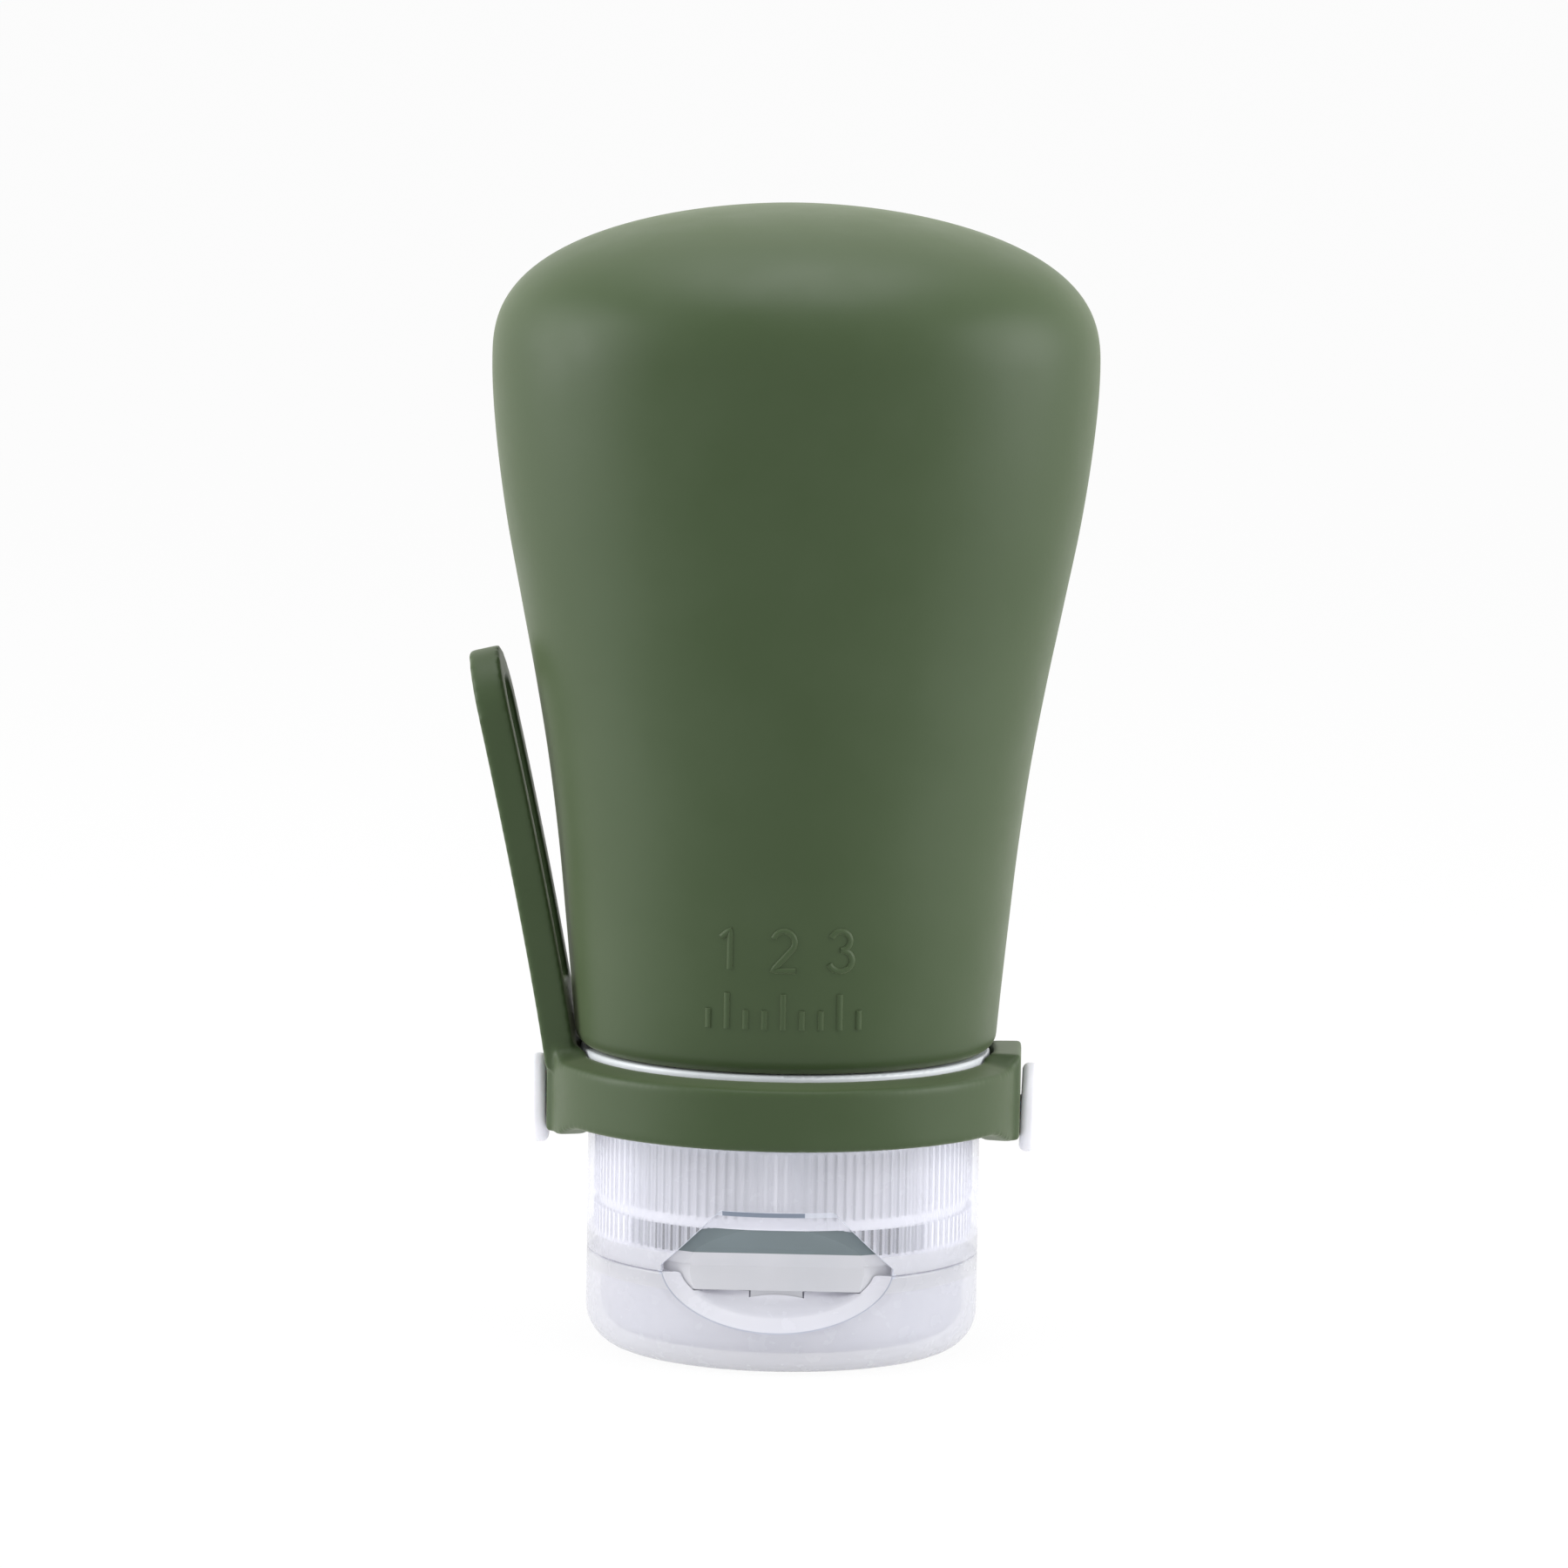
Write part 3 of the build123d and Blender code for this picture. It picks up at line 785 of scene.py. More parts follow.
    def build(self) -> Piece:
        """Make the shell as one closed mesh."""
        shaper = bmesh.new()
        columns = []
        for ring in self.outer_rings() + self.inner_rings():
            columns.append([shaper.verts.new((x * MM, y * MM, z * MM)) for x, y, z in ring])
        for here, there in zip(columns, columns[1:]):
            bridge(shaper, here, there)
        for ring, height in ((columns[0], self.top), (columns[-1], self.top - self.wall)):
            tip = shaper.verts.new((0, 0, height * MM))
            for turn in range(self.sides):
                shaper.faces.new((ring[turn], ring[(turn + 1) % self.sides], tip))
        return finish_mesh("bottle_skin", shaper)

    def dress(self, piece: Piece, palette: Palette) -> None:
        """Finish the shell and stand it in for its solid."""
        dress(piece, palette.silicone)
        shade(piece, sharp_deg=50)
        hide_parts("bottle_body")
        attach(piece, Body.BOTTLE.value)


@dataclass
class RaisedScale:
    """Small raised ruler of plain numbers on the front, moulded with the bottle."""

    skin: BottleSkin
    middle_x: float = 0.3
    number_z: float = 34.4
    tick_foot_z: float = 29.4
    number_height: float = 3.3
    tick_long: float = 3.0
    tick_short: float = 1.6
    pitch: float = 1.55
    ticks: int = 9
    numbered_every: int = 3
    stroke: float = 0.24
    rise: float = 0.16
    spacing: float = 0.25
    sides: int = 10

    def numerals(self) -> list[list[tuple[float, float]]]:
        """Strokes of the numbers 1, 2 and 3 in shares of their height, middle at 0."""
        arc = [(0.27 * math.cos(a), 0.72 + 0.28 * math.sin(a)) for a in self.turns(160, -35)]
        two = arc + [(-0.28, 0.0), (0.3, 0.0)]
        top = [(0.24 * math.cos(a), 0.76 + 0.24 * math.sin(a)) for a in self.turns(160, -90)]
        low = [(0.29 * math.cos(a), 0.26 + 0.27 * math.sin(a)) for a in self.turns(90, -160)]
        one = [(-0.17, 0.8), (0.06, 1.0), (0.06, 0.0)]
        return [one, two, top + low]

    @staticmethod
    def turns(start: float, end: float, steps: int = 14) -> list[float]:
        """Angles from start to end in degrees, as radians."""
        return [math.radians(start + (end - start) * step / steps) for step in range(steps + 1)]

    def tube(self, shaper: bmesh.types.BMesh, path: Sequence[tuple[float, float]]) -> None:
        """Lay a half-sunk bead along a path on the skin.

        Args:
            shaper: Mesh that takes the bead.
            path: (x, z) points in millimetres.
        """
        dense: list[Vector] = []
        for (x0, z0), (x1, z1) in zip(path, path[1:]):
            count = max(int(math.hypot(x1 - x0, z1 - z0) / self.spacing), 1)
            for part in range(count):
                dense.append(Vector((x0 + (x1 - x0) * part / count, z0 + (z1 - z0) * part / count)))
        dense.append(Vector(path[-1]))
        rings = []
        for index, spot in enumerate(dense):
            ahead = dense[min(index + 1, len(dense) - 1)] - dense[max(index - 1, 0)]
            across = Vector((-ahead.y, ahead.x)).normalized()
            ring = []
            for turn in range(self.sides):
                angle = 2 * math.pi * turn / self.sides
                place = spot + across * self.stroke * math.cos(angle)
                depth = self.skin.surface_y(place.x, place.y) - self.rise * math.sin(angle)
                ring.append(shaper.verts.new((place.x * MM, depth * MM, place.y * MM)))
            rings.append(ring)
        for here, there in zip(rings, rings[1:]):
            bridge(shaper, here, there)
        for ring, sign in ((rings[0], -1), (rings[-1], 1)):
            shaper.faces.new(ring[::sign])

    def build(self) -> Piece:
        """Make all ticks and numbers as one piece."""
        shaper = bmesh.new()
        first = self.middle_x - self.pitch * (self.ticks - 1) / 2
        for index in range(self.ticks):
            x = first + self.pitch * index
            numbered = index % self.numbered_every == 1
            height = self.tick_long if numbered else self.tick_short
            self.tube(shaper, [(x, self.tick_foot_z), (x, self.tick_foot_z + height)])
        for slot, strokes in enumerate(self.numerals()):
            x = first + self.pitch * (1 + self.numbered_every * slot)
            path = [(x + u * self.number_height, self.number_z + v * self.number_height) for u, v in strokes]
            self.tube(shaper, path)
        return finish_mesh("raised_scale", shaper)

    def dress(self, piece: Piece, palette: Palette) -> None:
        """Finish the scale in the bottle's own silicone."""
        dress(piece, palette.silicone)
        shade(piece, sharp_deg=60)
        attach(piece, Body.BOTTLE.value)


@dataclass
class Strap:
    """Silicone ring with an ear at each stud and the hanging loop, as one moulding."""

    inner: float = 17.3
    outer: float = 19.9
    bottom: float = 19.45
    top: float = 24.55
    ear_half: float = 4.0
    root_half: float = 5.2
    ear_rise: float = 0.9
    rise_lead: float = 0.3
    rise_fade: float = 1.3
    ear_drop: float = 1.1
    drop_start: float = 0.4
    drop_fade: float = 4.6
    inner_slope: float = 0.3
    inner_lift: float = 0.55
    flare: float = 1.1
    flare_reach: float = 2.0
    pad_fade: float = 0.7
    pad_limit: float = 0.9
    band_steps: int = 1080
    loop_width: float = 10.4
    loop_thickness: float = 2.6
    loop_length: float = 32.9
    slot_width: float = 5.2
    slot_start: float = 4.2
    leg_sink: float = 2.0
    leg_steps: int = 40
    crown_steps: int = 32
    root_sink: float = 2.6
    root_steps: int = 20
    axis_x: float = -19.05
    axis_z: float = 26.4
    lean_root_deg: float = 9.5
    lean_tip_deg: float = 13.3
    lean_power: float = 0.6
    lean_steps: int = 24
    bend_below: float = 0.9
    bend_above: float = 1.6
    voxel: float = 0.2
    smoothing: int = 18
    smooth_share: float = 0.5

    def band(self) -> Piece:
        """Make the ring with its two ears."""
        rings = []
        for turn in range(self.band_steps):
            angle = 2 * math.pi * turn / self.band_steps
            x, y = math.cos(angle), math.sin(angle)
            half = self.ear_half if x > 0 else self.root_half
            reach = abs(y) * self.outer - half
            lift = self.ease(1 - (reach + self.rise_lead) / self.rise_fade)
            drop = self.ease(1 - (reach - self.drop_start) / self.drop_fade)
            sweep = self.flare * max(1 - max(reach, 0) / self.flare_reach, 0) ** 2
            high = self.top + max(self.ear_rise * lift, sweep)
            low = self.bottom - self.ear_drop * drop
            inner = self.inner + self.inner_slope * lift
            pad = self.ease(1 - (abs(y) * self.outer - self.ear_half) / self.pad_fade)
            outer = self.outer * (1 + (1 / max(abs(x), self.pad_limit) - 1) * pad)
            ring = [
                (self.inner * x, self.inner * y, low),
                (outer * x, outer * y, low),
                (outer * x, outer * y, high),
                (inner * x, inner * y, high + self.inner_lift * (1 - lift)),
            ]
            rings.append(ring)
        return mesh_of("strap", *stack_rings(rings, True))

    @staticmethod
    def ease(share: float) -> float:
        """Smooth step from 0 to 1."""
        share = min(max(share, 0), 1)
        return share * share * (3 - 2 * share)

    def lean_angle(self, share: float) -> float:
        """Angle of the loop from upright at a share of its length, in radians."""
        share = min(max(share, 0), 1)
        lean = self.lean_root_deg + (self.lean_tip_deg - self.lean_root_deg) * share**self.lean_power
        return math.radians(lean)

    def lean(self, along: float) -> Vector:
        """Middle of the loop at a length along it, with a gentle outward bend."""
        place = Vector((self.axis_x, self.axis_z))
        for step in range(self.lean_steps):
            angle = self.lean_angle((step + 0.5) / self.lean_steps * along / self.loop_length)
            place += Vector((-math.sin(angle), math.cos(angle))) * along / self.lean_steps
        return place

    def facing(self, along: float) -> Vector:
        """Unit vector out of the loop's outer face, in X and Z."""
        angle = self.lean_angle(along / self.loop_length)
        return Vector((-math.cos(angle), -math.sin(angle)))

    def spot(self, across: float, along: float, out: float) -> Point:
        """A point of the loop.

        Args:
            across: Along Y from the loop's middle.
            along: Along the loop from its root.
            out: Out of its middle plane, away from the bottle.

        Returns:
            The point in millimetres.
        """
        place = self.lean(along) + self.facing(along) * out
        return (place.x, across, place.y)

    def loop(self) -> Piece:
        """Make the U of the loop as a squarish bar."""
        half = (self.loop_width - self.slot_width) / 4
        middle = self.loop_width / 2 - half
        crown = self.loop_length - self.loop_width / 2
        sink, steps = self.leg_sink, self.leg_steps
        path = [(-middle, -sink + (crown + sink) * step / steps, 1.0, 0.0) for step in range(steps)]
        for step in range(self.crown_steps + 1):
            angle = math.pi * step / self.crown_steps
            aside, ahead = math.cos(angle), math.sin(angle)
            path.append((-middle * aside, crown + middle * ahead, aside, ahead))
        path += [(middle, crown - (crown + sink) * step / steps, -1.0, 0.0) for step in range(1, steps + 1)]
        thick = self.loop_thickness / 2
        rings = []
        for across, along, side_across, side_along in path:
            ring = []
            for u, v in ((-1, -1), (1, -1), (1, 1), (-1, 1)):
                place = (across + u * half * side_across, along - u * half * side_along)
                ring.append(self.spot(*place, v * thick))
            rings.append(ring)
        return mesh_of("loop_bar", *stack_rings(rings, False))

    def root(self) -> Piece:
        """Make the solid root that carries both legs and flares into the ring."""
        half, thick = self.loop_width / 2, self.loop_thickness / 2
        rings = []
        for step in range(self.root_steps + 1):
            along = -self.root_sink + (self.slot_start + self.root_sink) * step / self.root_steps
            sides = ((-half, thick), (half, thick), (half, -thick), (-half, -thick))
            rings.append([self.spot(across, along, out) for across, out in sides])
        return mesh_of("loop_root", *stack_rings(rings, False))

    def build(self) -> Piece:
        """Melt ring, root and loop into one smooth moulding."""
        strap = self.band()
        combine(strap, [self.root(), self.loop()], "UNION")
        melt = strap.modifiers.new("melt", "REMESH")
        melt.mode = "VOXEL"
        melt.voxel_size = self.voxel * MM
        melt.use_smooth_shade = True
        ease = strap.modifiers.new("ease", "SMOOTH")
        ease.factor = self.smooth_share
        ease.iterations = self.smoothing
        apply_modifiers(strap)
        return strap

    def dress(self, piece: Piece, palette: Palette) -> None:
        """Finish the strap, and stand it in for the ring and loop."""
        dress(piece, palette.silicone)
        shade(piece, sharp_deg=180)
        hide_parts("strap_ring", "strap_loop")
        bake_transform(piece)


@dataclass
class Stud:
    """Button-headed stud with a full round rim."""

    side: Side
    head_radius: float = 3.75
    head_thickness: float = 1.4
    shank_radius: float = 1.0
    shank_length: float = 4.35
    ring_radius: float = 19.9
    axis_z: float = 20.6
    splay_deg: float = 1.7
    face_gap: float = 0.05
    rim_round: float = 0.6
    shank_round: float = 0.15
    neck_round: float = 0.1

    def build(self) -> Piece:
        """Turn the stud and lay it on its side."""
        base, crown = self.face_gap, self.face_gap + self.head_thickness
        corners = [
            (0, -self.shank_length, 0),
            (self.shank_radius, -self.shank_length, self.shank_round),
            (self.shank_radius, base, self.neck_round),
            (self.head_radius, base, self.rim_round),
            (self.head_radius, crown, self.rim_round),
            (0, crown, 0),
        ]
        name = f"stud_{self.side.name.lower()}"
        piece = lathe(name, rounded(corners, steps=8), steps=96)
        turn = Matrix.Rotation(self.side.value * math.radians(90 + self.splay_deg), 4, "Y")
        shift = Matrix.Translation((self.side.value * self.ring_radius * MM, 0, self.axis_z * MM))
        piece.data.transform(shift @ turn)
        return piece

    def dress(self, piece: Piece, palette: Palette) -> None:
        """Finish the stud."""
        dress(piece, palette.stud)
        shade(piece, sharp_deg=40)
        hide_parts(f"strap_stud_{self.side.name.lower()}")
        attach(piece, Body.BOTTLE.value)


@dataclass(frozen=True)
class ScoopRow:
    """One ring of the scoop's shape, at a depth below the cap's outside."""

    depth: float
    top: float
    side_inset: float
    floor_rise: float


@dataclass
class ThumbScoop:
    """The thumb scoop: a dish across the seam, oval below, flat along its top."""

    cap_radius: float = CAP_RADIUS
    half_width: float = 9.6
    half_height: float = 5.0
    top_half_width: float = 4.7
    shoulder_half_width: float = 8.5
    shoulder_rise: float = 1.1
    middle_z: float = 8.8
    margin: float = 0.3
    steps: int = 128
    entry: ScoopRow = ScoopRow(-1.6, 6.4, -1.3, -1.3)
    wall_entry: ScoopRow = ScoopRow(-1.6, 4.9, 0, 0)
    mouth: tuple[ScoopRow, ...] = (
        ScoopRow(-0.02, 5.14, -0.14, -0.14),
        ScoopRow(0.04, 5.06, -0.06, -0.06),
        ScoopRow(0.12, 4.9, -0.01, -0.01),
    )
    window: tuple[ScoopRow, ...] = (
        ScoopRow(0.25, 4.65, 0.0, 0.0),
        ScoopRow(1.15, 3.2, 0.12, 0.0),
        ScoopRow(1.9, 2.4, 0.12, 0.0),
        ScoopRow(2.6, 1.6, 0.12, 0.0),
        ScoopRow(3.2, 0.15, 0.12, 0.0),
    )
    bowl: tuple[ScoopRow, ...] = (
        ScoopRow(0.3, 4.65, 0.12, 0.1),
        ScoopRow(1.0, 3.4, 1.15, 1.0),
        ScoopRow(1.15, 3.2, 1.4, 1.16),
        ScoopRow(1.5, 2.8, 1.6, 1.36),
        ScoopRow(2.2, 2.0, 1.85, 1.75),
        ScoopRow(2.85, 1.1, 2.1, 2.3),
        ScoopRow(3.2, 0.15, 2.5, 3.0),
    )

    def outline(self, row: ScoopRow, growth: float) -> list[tuple[float, float, float]]:
        """Outline of one ring from the front.

        Args:
            row: The ring.
            growth: How far it is grown.

        Returns:
            Rows of (x, upper z, lower z) from right to left.
        """
        wide = self.half_width - row.side_inset + growth
        tall = self.half_height - row.floor_rise + growth
        top = row.top + growth
        slope = (self.half_height - self.shoulder_rise) / (self.shoulder_half_width - self.top_half_width)
        foot = (self.half_width - self.shoulder_half_width) / self.shoulder_rise
        shoulder = wide - foot * self.shoulder_rise
        rows = []
        for step in range(self.steps + 1):
            angle = math.pi * step / self.steps
            x = wide * math.cos(angle)
            if abs(x) < shoulder:
                upper = self.shoulder_rise + (shoulder - abs(x)) * slope
            else:
                upper = (wide - abs(x)) / foot
            rows.append((x, self.middle_z + min(upper, top), self.middle_z - tall * math.sin(angle)))
        return rows

    def holds(self, place: Vector) -> bool:
        """True if a place lies in or just beside the scoop, seen from the front."""
        near = abs(place.x) < self.half_width + self.margin
        return near and abs(place.z - self.middle_z) < self.half_height + self.margin

    def cutter(self, name: str, rows: Sequence[ScoopRow], growth: float = 0.0) -> Piece:
        """Make the scoop as a cutting body that follows the round of the cap.

        Args:
            name: Name of the object.
            rows: Rings below the mouth.
            growth: How far it is grown, to leave a wall.

        Returns:
            The cutting body.
        """
        mouth = self.mouth if growth == 0 else ()
        first = self.entry if growth == 0 else self.wall_entry
        rings = []
        for row in (first, *mouth, *rows):
            radius = self.cap_radius - row.depth - (growth if row.depth > 0 else 0)
            outline = self.outline(row, growth)
            ring = [(x, upper) for x, upper, _ in outline] + [(x, lower) for x, _, lower in outline[-2:0:-1]]
            rings.append([(x, -math.sqrt(radius**2 - x**2), z) for x, z in ring])
        points, faces = stack_rings(rings, False)
        del faces[-2:]
        around = 2 * self.steps
        for base in (0, len(points) - around):
            for step in range(self.steps):
                corners = (step, step + 1, (around - step - 1) % around, (around - step) % around)
                faces.append([base + corner for corner in dict.fromkeys(corners)])
        return mesh_of(name, points, faces)


@dataclass
class BarrelHinge:
    """The hinge at the cap's back: lid barrel in the middle, a sleeve barrel on each side."""

    axis_y: float = 17.6
    axis_z: float = 8.2
    radius: float = 1.4
    gap: float = 0.1
    side_gap: float = 0.15
    lid_half: float = 4.0
    cap_length: float = 3.0
    bore: float = 0.84
    bore_half: float = 9.0
    wall_y: float = 15.75
    web_reach: float = 3.4
    web_inset: float = 0.02
    seam_gap: float = 0.1
    edge_round: float = 0.2

    def barrel(self, start: float, end: float, radius: float, edge: float = 0.0) -> Piece:
        """Make a barrel along X.

        Args:
            start: Where it starts, in millimetres.
            end: Where it ends.
            radius: Its radius.
            edge: Rounding of its ends.

        Returns:
            The barrel.
        """
        corners = [(0, start, 0), (radius, start, edge), (radius, end, edge), (0, end, 0)]
        piece = lathe("barrel", rounded(corners, steps=4), steps=64)
        shift = Matrix.Translation((0, self.axis_y * MM, self.axis_z * MM))
        piece.data.transform(shift @ Matrix.Rotation(math.radians(90), 4, "Y"))
        return piece

    def web(self, start: float, end: float, side: int) -> Piece:
        """Make the sloped web between a barrel and the wall.

        Args:
            start: Where it starts along X.
            end: Where it ends.
            side: 1 for the sleeve above the seam, -1 for the lid below it.

        Returns:
            The web.
        """
        reach = self.web_reach
        away = math.hypot(self.axis_y - self.wall_y, reach)
        lean = math.atan2(reach, self.axis_y - self.wall_y) - math.asin(self.radius / away)
        length = math.sqrt(away**2 - self.radius**2)
        touch = (self.wall_y + length * math.cos(lean), reach - length * math.sin(lean))
        seam = self.seam_gap if side > 0 else 0.0
        corners = [(self.wall_y, seam), (self.axis_y, seam), touch, (self.wall_y, reach)]
        rings = [[(x, y, self.axis_z + side * z) for y, z in corners] for x in (start, end)]
        return mesh_of("web", *stack_rings(rings, False))

    def cap_spans(self) -> list[tuple[float, float]]:
        """Start and end along X of the sleeve's two barrels."""
        inner = self.lid_half + self.side_gap
        return [(-inner - self.cap_length, -inner), (inner, inner + self.cap_length)]

    def join(self, piece: Piece, spans: Sequence[tuple[float, float]], side: int) -> None:
        """Add barrels and webs to a piece.

        Args:
            piece: The lid or the sleeve.
            spans: Start and end of each barrel.
            side: 1 for the sleeve, -1 for the lid.
        """
        for start, end in spans:
            web = self.web(start + self.web_inset, end - self.web_inset, side)
            combine(piece, [web, self.barrel(start, end, self.radius, self.edge_round)], "UNION")

    def clear(self, piece: Piece, spans: Sequence[tuple[float, float]]) -> None:
        """Cut the other part's barrels and the pin's bore out of a piece.

        Args:
            piece: The lid or the sleeve.
            spans: Start and end of each barrel that needs room.
        """
        for start, end in spans:
            room = self.barrel(start - self.side_gap, end + self.side_gap, self.radius + self.gap)
            combine(piece, [room], "DIFFERENCE")
        combine(piece, [self.barrel(-self.bore_half, self.bore_half, self.bore)], "DIFFERENCE")


@dataclass
class CapSleeve:
    """Clear outer shell of the cap with two rows of fine inner ribs."""

    scoop: ThumbScoop
    hinge: BarrelHinge
    radius: float = CAP_RADIUS
    wall: float = 0.55
    rib_depth: float = 0.45
    bottom: float = 8.24
    lower_ribs: tuple[float, float] = (10.0, 12.2)
    upper_ribs: tuple[float, float] = (13.1, 18.6)
    top: float = 19.0
    ribs: int = 120
    slot_share: float = 0.32
    clear_zone: tuple[float, float] = (9.9, 12.3)
    clear_reach: tuple[float, float] = (10.2, 12.2)
    shadow_rise: tuple[float, float] = (4.6, 5.0)
    shadow_reach: tuple[float, float] = (-4.6, 2.4)
    edge_round: float = 0.18
    edge_steps: int = 6
    weld: float = 1e-7
    near: float = 0.05
    skin_near: float = 0.01
    faces_in: float = -0.9
    cut_below: float = 0.93
    faces_out: float = 0.99
    leans_out: float = 0.6

    def rows(self) -> list[tuple[float, float, bool]]:
        """Rows of the inside from the bottom up, as (radius, height, in the ribs)."""
        rib = self.radius - self.wall - self.rib_depth
        rows = [(rib, self.bottom, False)]
        for low, high in (self.lower_ribs, self.upper_ribs):
            rows += [(rib, low, False), (rib, low, True), (rib, high, True), (rib, high, False)]
        rows.append((rib, self.top, False))
        return rows

    def outside(self) -> Profile:
        """Outline of the outer wall, from its lower rounded edge to its upper one."""
        outline = []
        turns = [math.pi / 2 * step / self.edge_steps for step in range(self.edge_steps + 1)]
        for turn in turns:
            inset = self.edge_round * (1 - math.sin(turn))
            outline.append((self.radius - inset, self.bottom + self.edge_round * (1 - math.cos(turn))))
        outline += [(self.radius, height) for height in self.clear_zone]
        for turn in turns:
            inset = self.edge_round * (1 - math.cos(turn))
            outline.append((self.radius - inset, self.top - self.edge_round * (1 - math.sin(turn))))
        return outline

    def build(self) -> Piece:
        """Make the shell, ribs and scoop."""
        groove = self.radius - self.wall
        columns = []
        pitch = 2 * math.pi / self.ribs
        for rib in range(self.ribs):
            edge = rib * pitch + pitch * (1 - self.slot_share)
            columns += [(rib * pitch, False), ((rib * pitch + edge) / 2, False), (edge, False)]
            columns += [(edge, True), ((edge + (rib + 1) * pitch) / 2, True), ((rib + 1) * pitch, True)]
        rings = []
        for angle, in_groove in columns:
            ring = self.outside()
            for radius, height, ribbed in reversed(self.rows()):
                ring.append((groove if ribbed and in_groove else radius, height))
            rings.append([(r * math.cos(angle), r * math.sin(angle), z) for r, z in ring])
        points, faces = stack_rings(rings, True)
        sleeve = mesh_of("cap_shell", points, faces)
        shaper = bmesh.new()
        shaper.from_mesh(sleeve.data)
        bmesh.ops.remove_doubles(shaper, verts=shaper.verts, dist=self.weld)
        bmesh.ops.dissolve_degenerate(shaper, edges=shaper.edges, dist=self.weld)
        bmesh.ops.recalc_face_normals(shaper, faces=shaper.faces)
        shaper.to_mesh(sleeve.data)
        shaper.free()
        combine(sleeve, [self.scoop.cutter("sleeve_scoop", self.scoop.window)], "DIFFERENCE")
        self.hinge.join(sleeve, self.hinge.cap_spans(), 1)
        self.hinge.clear(sleeve, [(-self.hinge.lid_half, self.hinge.lid_half)])
        return sleeve

    def zone(self, middle: Vector, facing: Vector) -> ShellZone:
        """Tell the zone of a face of the shell.

        Args:
            middle: The face's middle, in metres.
            facing: Its normal.

        Returns:
            The zone that it belongs to.
        """
        flat = math.hypot(middle.x, middle.y)
        out = (facing.x * middle.x + facing.y * middle.y) / flat
        slot_radius = (self.radius - self.wall) * MM
        in_lower = self.clear_zone[0] * MM < middle.z < self.clear_zone[1] * MM
        in_scoop = middle.y < 0 and self.scoop.holds(middle / MM)
        # Slot floors take the painted shade of the rib slot materials
        if out < self.faces_in and flat > slot_radius - self.near * MM:
            return ShellZone.LOWER_SLOT if in_lower else ShellZone.UPPER_SLOT
        if out < self.faces_in:
            return ShellZone.CREST
        if in_scoop and abs(out) < self.cut_below and flat > slot_radius:
            rise = middle.z / MM - self.scoop.middle_z
            in_reach = self.shadow_reach[0] < middle.x / MM < self.shadow_reach[1]
            in_shadow = in_reach and self.shadow_rise[0] < rise < self.shadow_rise[1]
            return ShellZone.EDGE_SHADOW if in_shadow else ShellZone.CUT
        if out > self.faces_out and in_lower and abs(middle.x) < self.clear_reach[1] * MM:
            inside = abs(middle.x) < self.clear_reach[0] * MM
            return ShellZone.CLEAR if inside else ShellZone.CLEAR_EDGE
        in_foot = middle.z < self.clear_zone[0] * MM and flat < (self.radius + self.skin_near) * MM
        return ShellZone.FOOT if out > self.leans_out and in_foot else ShellZone.WALL

    def dress(self, piece: Piece, palette: Palette) -> None:
        """Finish the shell, zone by zone."""
        materials = {
            ShellZone.WALL: palette.sleeve,
            ShellZone.UPPER_SLOT: palette.upper_slot,
            ShellZone.LOWER_SLOT: palette.lower_slot,
            ShellZone.CREST: palette.crest,
            ShellZone.CUT: palette.cut,
            ShellZone.CLEAR: palette.clear_zone,
            ShellZone.EDGE_SHADOW: palette.edge_shadow,
            ShellZone.CLEAR_EDGE: palette.clear_edge,
            ShellZone.FOOT: palette.foot_zone,
        }
        dress(piece, *(materials[zone] for zone in ShellZone))
        for face in piece.data.polygons:
            face.material_index = self.zone(face.center, face.normal)
        shade(piece, sharp_deg=28)
        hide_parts("cap_sleeve")
        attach(piece, Body.CAP.value)


